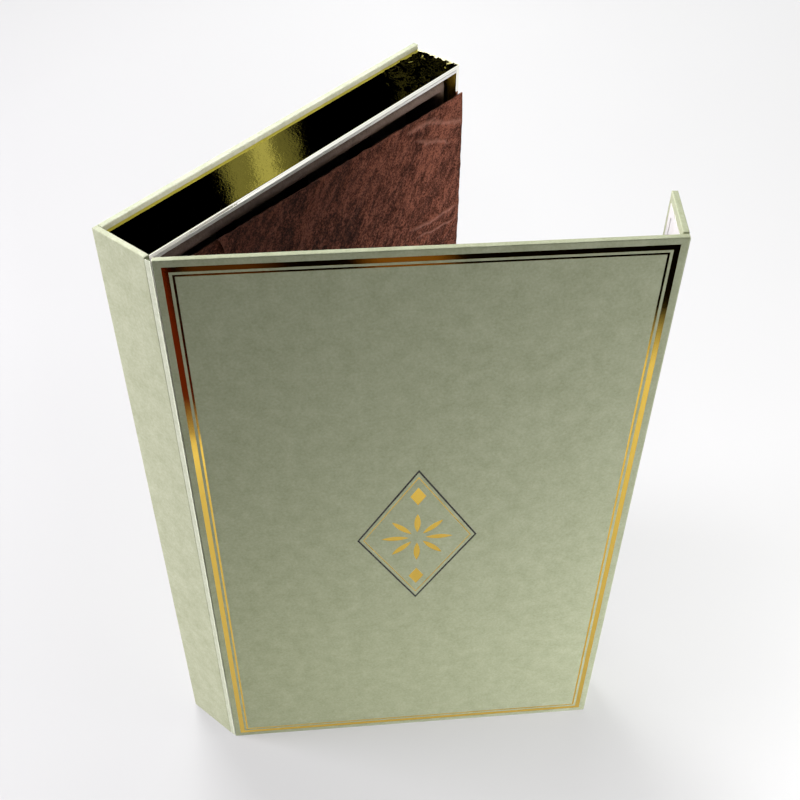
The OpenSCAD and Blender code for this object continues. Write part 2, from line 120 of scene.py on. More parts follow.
def add_node(
    tree: bpy.types.NodeTree,
    kind: str,
    settings: dict[str, Any] | None = None,
    inputs: dict[str | int, Any] | None = None,
) -> bpy.types.Node:
    """Adds a node with its settings and links.

    Args:
        tree: Node tree of a material or of the world.
        kind: Type name of the node.
        settings: Properties of the node; stops are the (place, colour) pairs of a colour ramp.
        inputs: For each input a value, a socket to link, or a node whose first live output is linked.

    Returns:
        The new node.
    """
    node = tree.nodes.new(kind)
    for name, value in (settings or {}).items():
        if name == "stops":
            elements = node.color_ramp.elements
            while len(elements) < len(value):
                elements.new(0.5)
            for element, (place, colour) in zip(elements, value):
                element.position = place
                element.color = colour
        else:
            setattr(node, name, value)
    for name, value in (inputs or {}).items():
        if isinstance(value, bpy.types.Node):
            value = next(socket for socket in value.outputs if socket.enabled)
        if isinstance(value, bpy.types.NodeSocket):
            tree.links.new(value, node.inputs[name])
        else:
            node.inputs[name].default_value = value
    return node


def make_material(
    name: str, surface: Callable[[bpy.types.NodeTree], bpy.types.Node]
) -> bpy.types.Material:
    """Makes a material.

    Args:
        name: Name of the material.
        surface: Adds the nodes of its surface to a tree and gives the last of them.

    Returns:
        The material.
    """
    material = bpy.data.materials.new(name)
    material.use_nodes = True
    tree = material.node_tree
    tree.nodes.clear()
    add_node(tree, "ShaderNodeOutputMaterial", inputs={"Surface": surface(tree)})
    return material


def grey(level: float) -> tuple[float, float, float, float]:
    """Gives a linear grey."""
    return (level, level, level, 1.0)


def seen_share(tree: bpy.types.NodeTree) -> bpy.types.Node:
    """Adds nodes that tell what looks at a face.

    Args:
        tree: Node tree of a material or of the world.

    Returns:
        A node that gives 1 to the camera, a mirror or glass, and 0 to the light of a lamp.
    """
    path = add_node(tree, "ShaderNodeLightPath")
    mirrored = add_node(
        tree,
        "ShaderNodeMath",
        {"operation": "ADD", "use_clamp": True},
        {0: path.outputs["Is Camera Ray"], 1: path.outputs["Is Glossy Ray"]},
    )
    return add_node(
        tree,
        "ShaderNodeMath",
        {"operation": "ADD", "use_clamp": True},
        {0: mirrored, 1: path.outputs["Is Transmission Ray"]},
    )


def per_metre(millimetres: float) -> float:
    """Gives the scale of a pattern whose features are that many millimetres apart."""
    return 1000 / millimetres


class Sheen(Enum):
    """How a paper or card was finished."""

    # Roughness and specular level
    UNCOATED = (0.86, 0.12)
    VARNISHED = (0.40, 0.22)
    DULL = (0.95, 0.03)

    @property
    def roughness(self) -> float:
        """Roughness of the face."""
        return self.value[0]

    @property
    def specular(self) -> float:
        """Specular level of the face."""
        return self.value[1]


@dataclass(frozen=True)
class Finish:
    """A material, named for the real one and how its surface was made."""

    name: str

    def surface(self, tree: bpy.types.NodeTree) -> bpy.types.Node:
        """Adds the nodes of the surface to a tree, and gives the last of them."""
        raise NotImplementedError

    def build(self) -> bpy.types.Material:
        """Builds the material."""
        return make_material(self.name, self.surface)


@dataclass(frozen=True)
class FibreSheet(Finish):
    """Paper or board: felted fibres, seen as a cloudy formation with a finer grain on top."""

    pale: str
    deep: str
    sheen: Sheen
    # Formation of the pulp, in mm
    cloud: float = 7.0
    # Grain of the face, drawn coarser than its 0.2 mm fibres so that it shows
    grain: float = 0.8
    # Height of the grain, in mm
    relief: float = 0.03
    # Share of the colour's range that the grain takes
    grain_share: float = 0.5

    def surface(self, tree: bpy.types.NodeTree) -> bpy.types.Node:
        """Adds the nodes of the surface.

        Args:
            tree: Node tree of the material.

        Returns:
            The last node, which gives the surface.
        """
        here = add_node(tree, "ShaderNodeTexCoord").outputs["Object"]
        cloud = add_node(
            tree,
            "ShaderNodeTexNoise",
            inputs={"Vector": here, "Scale": per_metre(self.cloud), "Detail": 3.0, "Roughness": 0.6},
        )
        grain = add_node(
            tree,
            "ShaderNodeTexNoise",
            inputs={"Vector": here, "Scale": per_metre(self.grain), "Detail": 2.0, "Roughness": 0.7},
        )
        both = add_node(
            tree, "ShaderNodeMix", {"data_type": "FLOAT"}, {0: self.grain_share, 2: cloud, 3: grain}
        )
        colour = add_node(
            tree,
            "ShaderNodeValToRGB",
            {"stops": [(0.32, linear(self.deep)), (0.68, linear(self.pale))]},
            {"Fac": both},
        )
        bump = add_node(
            tree,
            "ShaderNodeBump",
            inputs={"Height": grain, "Distance": self.relief * MM, "Strength": 0.6},
        )
        return add_node(
            tree,
            "ShaderNodeBsdfPrincipled",
            inputs={
                "Base Color": colour,
                "Roughness": self.sheen.roughness,
                "Specular IOR Level": self.sheen.specular,
                "Normal": bump,
            },
        )


@dataclass(frozen=True)
class MirrorFoilPaper(Finish):
    """Vacuum-metallised paper: a thin mirror that shows the paper's own waves, with a painted highlight
    that whitens its rim over the board edge, and a pale core where it has cracked at the fore fold."""

    tint: str
    # Tint of the faces that look out of the tray's mouth: a painted highlight that whitens the rim
    painted_highlight_tint: str
    # Pale core that shows where the metal has cracked off
    core: str
    # Start and end of the wrinkled strip beside the fore fold, as X in metres
    wrinkled: tuple[float, float] = (0.055, 0.090)
    # Cockle of the paper under the metal, in mm
    wave: float = 14.0
    wave_relief: float = 0.06
    # Tooth of the paper, which breaks the edge of a reflection into specks
    tooth: float = 1.1
    tooth_relief: float = 0.012
    # Wrinkles where the corner was folded: their spacing and height, in mm
    wrinkle: float = 6.0
    wrinkle_relief: float = 0.8
    # Flakes of the cracked metal, in mm, and how far they stray, in metres
    flake: float = 2.5
    flake_reach: float = 0.006
    # Where the metal cracks off, as X with the stray of its flakes, in metres: this is about 1 mm
    # before the fore fold
    cracked: tuple[float, float] = (0.0928, 0.0931)
    roughness: float = 0.012

    def surface(self, tree: bpy.types.NodeTree) -> bpy.types.Node:
        """Adds the nodes of the surface.

        Args:
            tree: Node tree of the material.

        Returns:
            The last node, which gives the surface.
        """
        here = add_node(tree, "ShaderNodeTexCoord").outputs["Object"]
        wave = add_node(
            tree,
            "ShaderNodeTexNoise",
            inputs={"Vector": here, "Scale": per_metre(self.wave), "Detail": 1.0},
        )
        tooth = add_node(
            tree,
            "ShaderNodeTexNoise",
            inputs={"Vector": here, "Scale": per_metre(self.tooth), "Detail": 2.0, "Roughness": 0.7},
        )
        waved = add_node(
            tree,
            "ShaderNodeBump",
            inputs={"Height": wave, "Distance": self.wave_relief * MM, "Strength": 1.0},
        )
        bump = add_node(
            tree,
            "ShaderNodeBump",
            inputs={
                "Height": tooth,
                "Distance": self.tooth_relief * MM,
                "Strength": 1.0,
                "Normal": waved,
            },
        )
        across = add_node(tree, "ShaderNodeSeparateXYZ", inputs={"Vector": here})
        geometry = add_node(tree, "ShaderNodeNewGeometry")
        upward = add_node(
            tree, "ShaderNodeSeparateXYZ", inputs={"Vector": geometry.outputs["True Normal"]}
        )
        on_head = add_node(
            tree,
            "ShaderNodeMapRange",
            inputs={"Value": upward.outputs["Z"], "From Min": 0.6, "From Max": 0.8},
        )
        near_fold = add_node(
            tree,
            "ShaderNodeMapRange",
            inputs={
                "Value": across.outputs["X"],
                "From Min": self.wrinkled[0],
                "From Max": self.wrinkled[1],
                "To Max": on_head,
            },
        )
        wrinkle = add_node(
            tree,
            "ShaderNodeTexNoise",
            {"noise_type": "RIDGED_MULTIFRACTAL"},
            {"Vector": here, "Scale": per_metre(self.wrinkle), "Detail": 4.0, "Distortion": 0.6},
        )
        wrinkled = add_node(
            tree,
            "ShaderNodeBump",
            inputs={
                "Height": wrinkle,
                "Distance": self.wrinkle_relief * MM,
                "Strength": near_fold,
                "Normal": bump,
            },
        )
        # Painted highlight: the faces that look out of the tray's mouth, the rim, are tinted near white
        facing = add_node(
            tree,
            "ShaderNodeVectorMath",
            {"operation": "DOT_PRODUCT"},
            {0: geometry.outputs["True Normal"], 1: MOUTH_WAY},
        )
        rim = add_node(
            tree, "ShaderNodeMapRange", inputs={"Value": facing, "From Min": 0.1, "From Max": 0.4}
        )
        colour = add_node(
            tree,
            "ShaderNodeMix",
            {"data_type": "RGBA"},
            {0: rim, 6: linear(self.tint), 7: linear(self.painted_highlight_tint)},
        )
        shader = add_node(
            tree,
            "ShaderNodeBsdfPrincipled",
            inputs={
                "Base Color": colour,
                "Metallic": 1.0,
                "Roughness": self.roughness,
                "Normal": wrinkled,
            },
        )
        # Along the fore fold of the head the metal has cracked off, raggedly
        flake = add_node(
            tree,
            "ShaderNodeTexNoise",
            inputs={"Vector": here, "Scale": per_metre(self.flake), "Detail": 3.0, "Roughness": 0.7},
        )
        reach = add_node(
            tree,
            "ShaderNodeMath",
            {"operation": "MULTIPLY_ADD"},
            {0: flake, 1: self.flake_reach, 2: across.outputs["X"]},
        )
        cracked = add_node(
            tree,
            "ShaderNodeMapRange",
            inputs={
                "Value": reach,
                "From Min": self.cracked[0],
                "From Max": self.cracked[1],
                "To Max": on_head,
            },
        )
        core = add_node(
            tree, "ShaderNodeBsdfDiffuse", inputs={"Color": linear(self.core), "Roughness": 0.5}
        )
        return add_node(tree, "ShaderNodeMixShader", inputs={0: cracked, 1: shader, 2: core})


@dataclass(frozen=True)
class HotStampedFoil(Finish):
    """Foil pressed hot into the paper: a bright film that takes a little of the paper's grain."""

    tint: str
    metallic: float
    roughness: float
    # Grain of the paper under the film, in mm, and the share by which it sways the roughness
    grain: float = 1.0
    relief: float = 0.004
    sway: float = 0.3

    def surface(self, tree: bpy.types.NodeTree) -> bpy.types.Node:
        """Adds the nodes of the surface.

        Args:
            tree: Node tree of the material.

        Returns:
            The last node, which gives the surface.
        """
        here = add_node(tree, "ShaderNodeTexCoord").outputs["Object"]
        grain = add_node(
            tree,
            "ShaderNodeTexNoise",
            inputs={"Vector": here, "Scale": per_metre(self.grain), "Detail": 2.0, "Roughness": 0.7},
        )
        bump = add_node(
            tree,
            "ShaderNodeBump",
            inputs={"Height": grain, "Distance": self.relief * MM, "Strength": 1.0},
        )
        gloss = add_node(
            tree,
            "ShaderNodeMapRange",
            inputs={
                "Value": grain,
                "From Min": 0.3,
                "From Max": 0.7,
                "To Min": self.roughness * (1 - self.sway),
                "To Max": self.roughness * (1 + self.sway),
            },
        )
        return add_node(
            tree,
            "ShaderNodeBsdfPrincipled",
            inputs={
                "Base Color": linear(self.tint),
                "Metallic": self.metallic,
                "Roughness": gloss,
                "Normal": bump,
            },
        )


@dataclass(frozen=True)
class EmbossedGlassine(Finish):
    """Padding of embossed glassine: brown paper pressed to a leather grain and crumpled along one
    slant, dull on its ridges, with painted shade that makes its hollows near black, painted
    highlights on its ridges and creases, and a pale cut edge that is partly a painted highlight."""

    # The ridge colour is a painted highlight and the hollow colour painted shade, both set by the relief
    painted_ridge_highlight: str
    body: str
    painted_hollow_shade: str
    # Colour of the cut edge: partly its own pale edge, partly a painted highlight where it catches light
    cut: str
    # Colour of the creases: a painted highlight
    painted_crease_highlight: str
    # Cells of the embossing, with their finer tooth, and the crumple that runs through them, in mm
    grain: float = 2.8
    tooth: float = 0.8
    crumple: float = 15.0
    relief: float = 0.34
    crumple_relief: float = 1.2
    # Slant of the crumple to the short side, in degrees
    slant: float = -56.0
    specular: float = 0.04
    # Roughness of the hollows and of the ridges
    gloss: tuple[float, float] = (0.66, 0.46)
    # Share of the tooth in the grain, and of the crumple in the colour
    tooth_share: float = 0.62
    crumple_share: float = 0.2
    # Waves that bend a crease line: their length and their reach from side to side, in mm
    wander: float = 12.0
    wander_reach: float = 6.0
    # Height of a crease line, in mm, and the share of the painted highlight colour on it
    crease_relief: float = 0.6
    painted_highlight_share: float = 0.42
    # Creases, raised and paled by a painted highlight: two ends and half a width, in mm of the tray's frame
    crease_lines: tuple[tuple[float, float, float, float, float], ...] = (
        (146.0, 249.0, 189.0, 244.0, 1.7),
        (151.0, 243.0, 189.0, 236.0, 1.1),
        (144.0, 302.0, 168.0, 300.5, 2.2),
        (158.0, 302.0, 190.0, 288.0, 2.0),
        (150.0, 296.0, 180.0, 283.0, 1.3),
    )

    def noise(
        self, tree: bpy.types.NodeTree, size: float, stretch: float, detail: float
    ) -> bpy.types.Node:
        """Adds a noise that is stretched along the slant of the crumple.

        Args:
            tree: Node tree.
            size: Size of its features across the slant, in mm.
            stretch: How many times longer they are along it.
            detail: Octaves.

        Returns:
            The noise node.
        """
        here = add_node(tree, "ShaderNodeTexCoord").outputs["Object"]
        slanted = add_node(
            tree,
            "ShaderNodeMapping",
            {"vector_type": "TEXTURE"},
            {
                "Vector": here,
                "Rotation": (0.0, math.radians(self.slant), 0.0),
                "Scale": (stretch, 1.0, 1.0),
            },
        )
        return add_node(
            tree,
            "ShaderNodeTexNoise",
            inputs={
                "Vector": slanted,
                "Scale": per_metre(size),
                "Detail": detail,
                "Roughness": 0.6,
                "Distortion": 0.35,
            },
        )

    def crease_line(
        self, tree: bpy.types.NodeTree, ends: tuple[float, float, float, float, float]
    ) -> bpy.types.Node:
        """Adds the mask of one crease line, which is raised and paled by a painted highlight.

        Args:
            tree: Node tree.
            ends: Its two ends and half its width.

        Returns:
            The mask, 1 on its line and 0 beside it.
        """
        x0, z0, x1, z1, width = ends
        here = add_node(tree, "ShaderNodeTexCoord").outputs["Object"]
        wander = add_node(
            tree,
            "ShaderNodeTexNoise",
            inputs={"Vector": here, "Scale": per_metre(self.wander), "Detail": 2.0},
        )
        shift = add_node(
            tree,
            "ShaderNodeVectorMath",
            {"operation": "MULTIPLY_ADD"},
            {0: wander.outputs["Color"], 1: (self.wander_reach * MM,) * 3, 2: here},
        )
        centred = add_node(
            tree,
            "ShaderNodeVectorMath",
            {"operation": "SUBTRACT"},
            {0: shift, 1: (self.wander_reach / 2 * MM,) * 3},
        )
        laid = add_node(
            tree,
            "ShaderNodeMapping",
            {"vector_type": "TEXTURE"},
            {
                "Vector": centred,
                "Location": tray_point((x0 + x1) / 2, 0, (z0 + z1) / 2),
                "Rotation": (0.0, -math.atan2(z1 - z0, x1 - x0), 0.0),
                "Scale": (math.hypot(x1 - x0, z1 - z0) / 2 * MM, 1.0, width * MM),
            },
        )
        parts = add_node(tree, "ShaderNodeSeparateXYZ", inputs={"Vector": laid})
        masks = []
        for axis, start in (("X", 0.5), ("Z", 0.0)):
            size = add_node(tree, "ShaderNodeMath", {"operation": "ABSOLUTE"}, {0: parts.outputs[axis]})
            masks.append(
                add_node(
                    tree,
                    "ShaderNodeMapRange",
                    {"interpolation_type": "SMOOTHSTEP"},
                    {"Value": size, "From Min": 1.0, "From Max": start},
                )
            )
        return add_node(tree, "ShaderNodeMath", {"operation": "MULTIPLY"}, {0: masks[0], 1: masks[1]})

    def crease_lines_mask(self, tree: bpy.types.NodeTree) -> bpy.types.Node:
        """Adds the mask of all crease lines, which carry the painted highlight.

        Args:
            tree: Node tree.

        Returns:
            The mask, 1 on the lines and 0 beside them.
        """
        mask = self.crease_line(tree, self.crease_lines[0])
        for ends in self.crease_lines[1:]:
            other = self.crease_line(tree, ends)
            mask = add_node(tree, "ShaderNodeMath", {"operation": "MAXIMUM"}, {0: mask, 1: other})
        return mask

    def surface(self, tree: bpy.types.NodeTree) -> bpy.types.Node:
        """Adds the nodes of the surface.

        Args:
            tree: Node tree of the material.

        Returns:
            The last node, which gives the surface.
        """
        painted_crease_highlight = self.crease_lines_mask(tree)
        grain = self.noise(tree, self.grain, 1.8, 3.0)
        tooth = self.noise(tree, self.tooth, 1.1, 4.0)
        crumple = self.noise(tree, self.crumple, 2.6, 3.0)
        close = add_node(
            tree, "ShaderNodeMix", {"data_type": "FLOAT"}, {0: self.tooth_share, 2: grain, 3: tooth}
        )
        height = add_node(
            tree, "ShaderNodeMix", {"data_type": "FLOAT"}, {0: self.crumple_share, 2: close, 3: crumple}
        )
        # Painted light: the colour follows the relief, from painted shade in the hollows to a painted
        # highlight on the ridges
        face = add_node(
            tree,
            "ShaderNodeValToRGB",
            {
                "stops": [
                    (0.42, linear(self.painted_hollow_shade)),
                    (0.49, linear(self.body)),
                    (0.58, linear(self.painted_ridge_highlight)),
                ]
            },
            {"Fac": height},
        )
        geometry = add_node(tree, "ShaderNodeNewGeometry")
        facing = add_node(
            tree,
            "ShaderNodeVectorMath",
            {"operation": "DOT_PRODUCT"},
            {0: geometry.outputs["True Normal"], 1: MOUTH_WAY},
        )
        flat = add_node(tree, "ShaderNodeMath", {"operation": "ABSOLUTE"}, {0: facing})
        # Faces that do not look out of the mouth or back, the cut edge, take the pale cut colour, partly a
        # painted highlight
        at_edge = add_node(
            tree, "ShaderNodeMapRange", inputs={"Value": flat, "From Min": 0.55, "From Max": 0.25}
        )
        colour = add_node(
            tree, "ShaderNodeMix", {"data_type": "RGBA"}, {0: at_edge, 6: face, 7: linear(self.cut)}
        )
        # Painted highlight: the crease lines are paled, standing in for light caught on their raised ridges
        highlight_amount = add_node(
            tree, "ShaderNodeMath", {"operation": "MULTIPLY"}, {0: painted_crease_highlight, 1: self.painted_highlight_share}
        )
        crease_highlighted = add_node(
            tree,
            "ShaderNodeMix",
            {"data_type": "RGBA"},
            {0: highlight_amount, 6: colour, 7: linear(self.painted_crease_highlight)},
        )
        creased = add_node(
            tree,
            "ShaderNodeBump",
            inputs={"Height": painted_crease_highlight, "Distance": self.crease_relief * MM, "Strength": 1.0},
        )
        folds = add_node(
            tree,
            "ShaderNodeBump",
            inputs={
                "Height": crumple,
                "Distance": self.crumple_relief * MM,
                "Strength": 0.8,
                "Normal": creased,
            },
        )
        bump = add_node(
            tree,
            "ShaderNodeBump",
            inputs={"Height": close, "Distance": self.relief * MM, "Strength": 0.9, "Normal": folds},
        )
        gloss = add_node(
            tree,
            "ShaderNodeMapRange",
            inputs={
                "Value": close,
                "From Min": 0.35,
                "From Max": 0.65,
                "To Min": self.gloss[0],
                "To Max": self.gloss[1],
            },
        )
        return add_node(
            tree,
            "ShaderNodeBsdfPrincipled",
            inputs={
                "Base Color": crease_highlighted,
                "Roughness": gloss,
                "Specular IOR Level": self.specular,
                "Normal": bump,
            },
        )


@dataclass(frozen=True)
class NickelPlate(Finish):
    """Nickel-plated disc magnet or keeper: tumbled, so faintly scratched every way."""

    tint: str
    # Scratches of tumbling, in mm
    scratch: float = 0.5
    # Least and greatest roughness
    gloss: tuple[float, float] = (0.22, 0.42)

    def surface(self, tree: bpy.types.NodeTree) -> bpy.types.Node:
        """Adds the nodes of the surface.

        Args:
            tree: Node tree of the material.

        Returns:
            The last node, which gives the surface.
        """
        here = add_node(tree, "ShaderNodeTexCoord").outputs["Object"]
        scratch = add_node(
            tree,
            "ShaderNodeTexNoise",
            inputs={"Vector": here, "Scale": per_metre(self.scratch), "Detail": 2.0},
        )
        low, high = self.gloss
        gloss = add_node(
            tree, "ShaderNodeMapRange", inputs={"Value": scratch, "To Min": low, "To Max": high}
        )
        return add_node(
            tree,
            "ShaderNodeBsdfPrincipled",
            inputs={"Base Color": linear(self.tint), "Metallic": 1.0, "Roughness": gloss},
        )


class Finishes:
    """Materials of the box, each built once."""

    def __init__(self) -> None:
        """Builds all the materials."""
        # Dyed in the pulp and left uncoated: a soft, cloudy grey-green without shine
        self.cover = FibreSheet(
            "uncoated_dyed_cover_paper", "#B7BCA0", "#9FA486", Sheen.UNCOATED, grain=1.1
        ).build()
        # The dye cracks along a bent crease and shows the pale core, paled more as a painted highlight
        self.crease = FibreSheet(
            "cover_paper_cracked_and_highlit_at_crease", "#CDD2BC", "#B4BA9F", Sheen.UNCOATED, cloud=3.0, grain=0.9
        ).build()
        # Pressed from waste paper: dull grey, flecked, rough at its cut edges
        self.greyboard = FibreSheet(
            "recycled_greyboard", "#A39E95", "#7F7A72", Sheen.UNCOATED, cloud=3.0, relief=0.06
        ).build()
        # Metal vapour on lacquered paper: a waved yellow mirror, bare where creased, rim a painted
        # highlight
        self.mirror = MirrorFoilPaper(
            "metallised_paper_yellow", tint="#DCCF58", painted_highlight_tint="#FFFEF4", core="#E9E7B4"
        ).build()
        # Pressed hot into the paper: a bright film that flickers with the grain below
        self.gold_stamp = HotStampedFoil("hot_stamped_gold_foil", "#E2BE55", 1.0, 0.05).build()
        # The same press with a pigment film: black, with a soft shine
        self.black_stamp = HotStampedFoil("hot_stamped_black_pigment_foil", "#0D0D0C", 0.0, 0.3).build()
        # Bleached pulp: an even white without shine
        self.white_card = FibreSheet(
            "folding_boxboard_white", "#DBDAD7", "#D0CECA", Sheen.UNCOATED
        ).build()
        # Mica in a varnish: a brown that pales softly towards the light
        self.taupe_card = FibreSheet(
            "pearlescent_card_taupe", "#76645A", "#4E3E35", Sheen.VARNISHED, cloud=4.0, relief=0.01
        ).build()
        # Dyed through and left matt, and darkened to near black as painted shade deep in the tray
        self.dark_card = FibreSheet("chocolate_card_darkened_as_painted_shade", "#17100C", "#0E0806", Sheen.DULL).build()
        # Glassine pressed between rollers: leathery cells, painted highlights on ridges, painted shade in
        # hollows
        self.glassine = EmbossedGlassine(
            "embossed_glassine_cocoa",
            painted_ridge_highlight="#7C4B3B",
            body="#48281D",
            painted_hollow_shade="#200C06",
            cut="#7D5848",
            painted_crease_highlight="#A07060",
        ).build()
        # Plated and tumbled: a pale steel grey with a blurred reflection
        self.nickel = NickelPlate("nickel_plated_steel", "#B8B6B0").build()


class Bench:
    """The modelling moves that the pieces share."""

    @staticmethod
    def hold(piece: bpy.types.Object) -> None:
        """Deselects everything and selects one piece.

        Args:
            piece: The piece.
        """
        Bench.clear()
        piece.select_set(True)
        bpy.context.view_layer.objects.active = piece

    @staticmethod
    def clear() -> None:
        """Leaves edit mode and deselects everything."""
        if bpy.context.object is not None and bpy.context.object.mode != "OBJECT":
            bpy.ops.object.mode_set(mode="OBJECT")
        bpy.ops.object.select_all(action="DESELECT")

    @staticmethod
    def block(name: str, low: Vector, high: Vector) -> bpy.types.Object:
        """Adds a cube at its size and place.

        Args:
            name: Name of the piece.
            low: Lowest corner, in metres.
            high: Highest corner, in metres.

        Returns:
            The piece, its origin at the world's.
        """
        Bench.clear()
        bpy.ops.mesh.primitive_cube_add(size=1, location=(low + high) / 2, scale=high - low)
        piece = bpy.context.object
        piece.name = name
        bpy.ops.object.transform_apply(location=True, rotation=True, scale=True)
        return piece

    @staticmethod
    def grid(name: str, across: int, along: int) -> bpy.types.Object:
        """Adds a unit grid whose vertices run from 0 to 1 in X and Y.

        Args:
            name: Name of the piece.
            across: Faces along X.
            along: Faces along Y.

        Returns:
            The piece, its origin at the world's.
        """
        Bench.clear()
        bpy.ops.mesh.primitive_grid_add(
            x_subdivisions=across, y_subdivisions=along, size=1, location=(0.5, 0.5, 0)
        )
        piece = bpy.context.object
        piece.name = name
        bpy.ops.object.transform_apply(location=True, rotation=True, scale=True)
        return piece

    @staticmethod
    def pick_faces(piece: bpy.types.Object, test: Callable[[Vector, Vector], bool]) -> None:
        """Selects faces by their middle and normal, in edit mode.

        Args:
            piece: The piece being edited.
            test: Tells from a face's middle and normal whether it is picked.
        """
        bpy.ops.mesh.select_mode(type="FACE")
        bpy.ops.mesh.select_all(action="DESELECT")
        mesh = bmesh.from_edit_mesh(piece.data)
        for face in mesh.faces:
            face.select_set(test(face.calc_center_median(), face.normal))
        bmesh.update_edit_mesh(piece.data)

    @staticmethod
    def pick_folds(piece: bpy.types.Object, test: Callable[[Vector, Vector], bool]) -> None:
        """Selects sharp edges between two faces by their middle and direction, in edit mode.

        Args:
            piece: The piece being edited.
            test: Tells from an edge's middle and direction whether it is picked.
        """
        bpy.ops.mesh.select_mode(type="EDGE")
        bpy.ops.mesh.select_all(action="DESELECT")
        mesh = bmesh.from_edit_mesh(piece.data)
        mesh.normal_update()
        for edge in mesh.edges:
            fold = len(edge.link_faces) == 2 and edge.calc_face_angle() > 0.5
            a, b = (v.co for v in edge.verts)
            if fold and test((a + b) / 2, (b - a).normalized()):
                edge.select_set(True)
        bmesh.update_edit_mesh(piece.data)

    @staticmethod
    def apply(piece: bpy.types.Object, kind: str, **settings: Any) -> None:
        """Adds a modifier and applies it.

        Args:
            piece: The piece.
            kind: Type of the modifier.
            **settings: Its properties.
        """
        Bench.hold(piece)
        modifier = piece.modifiers.new(kind.lower(), kind)
        for name, value in settings.items():
            setattr(modifier, name, value)
        bpy.ops.object.modifier_apply(modifier=modifier.name)

    @staticmethod
    def move_points(piece: bpy.types.Object, place: Callable[[Vector], Vector]) -> None:
        """Moves every vertex.

        Args:
            piece: The piece.
            place: Gives a vertex's new place from its old one.
        """
        for vertex in piece.data.vertices:
            vertex.co = place(vertex.co.copy())
        piece.data.update()

    @staticmethod
    def face_towards(piece: bpy.types.Object, way: Vector) -> None:
        """Flips the faces of an open sheet if they look away from a direction.

        Args:
            piece: The sheet.
            way: Direction that its faces should look in, on the whole.
        """
        total = sum((face.normal * face.area for face in piece.data.polygons), Vector())
        if total.dot(way) < 0:
            Bench.hold(piece)
            bpy.ops.object.mode_set(mode="EDIT")
            bpy.ops.mesh.select_all(action="SELECT")
            bpy.ops.mesh.flip_normals()
            bpy.ops.object.mode_set(mode="OBJECT")

    @staticmethod
    def smooth(piece: bpy.types.Object, degrees: float = 40.0) -> None:
        """Shades a piece smooth up to an angle."""
        Bench.hold(piece)
        bpy.ops.object.shade_smooth_by_angle(angle=math.radians(degrees))

    @staticmethod
    def dress(piece: bpy.types.Object, material: bpy.types.Material) -> None:
        """Puts one material on all of a piece's slots.

        Args:
            piece: The piece.
            material: The material.
        """
        if not piece.material_slots:
            piece.data.materials.append(material)
        for slot in piece.material_slots:
            slot.material = material

    @staticmethod
    def dress_all(
        nodes: dict[str, bpy.types.Object], dressing: list[tuple[bpy.types.Material, tuple[str, ...]]]
    ) -> None:
        """Dresses nodes that the frame brings.

        Args:
            nodes: The frame's nodes by name.
            dressing: Pairs of a material and the names of the nodes that wear it.
        """
        for material, names in dressing:
            for name in names:
                Bench.dress(nodes[name], material)
            log.info("%s in %s", ", ".join(names), material.name)


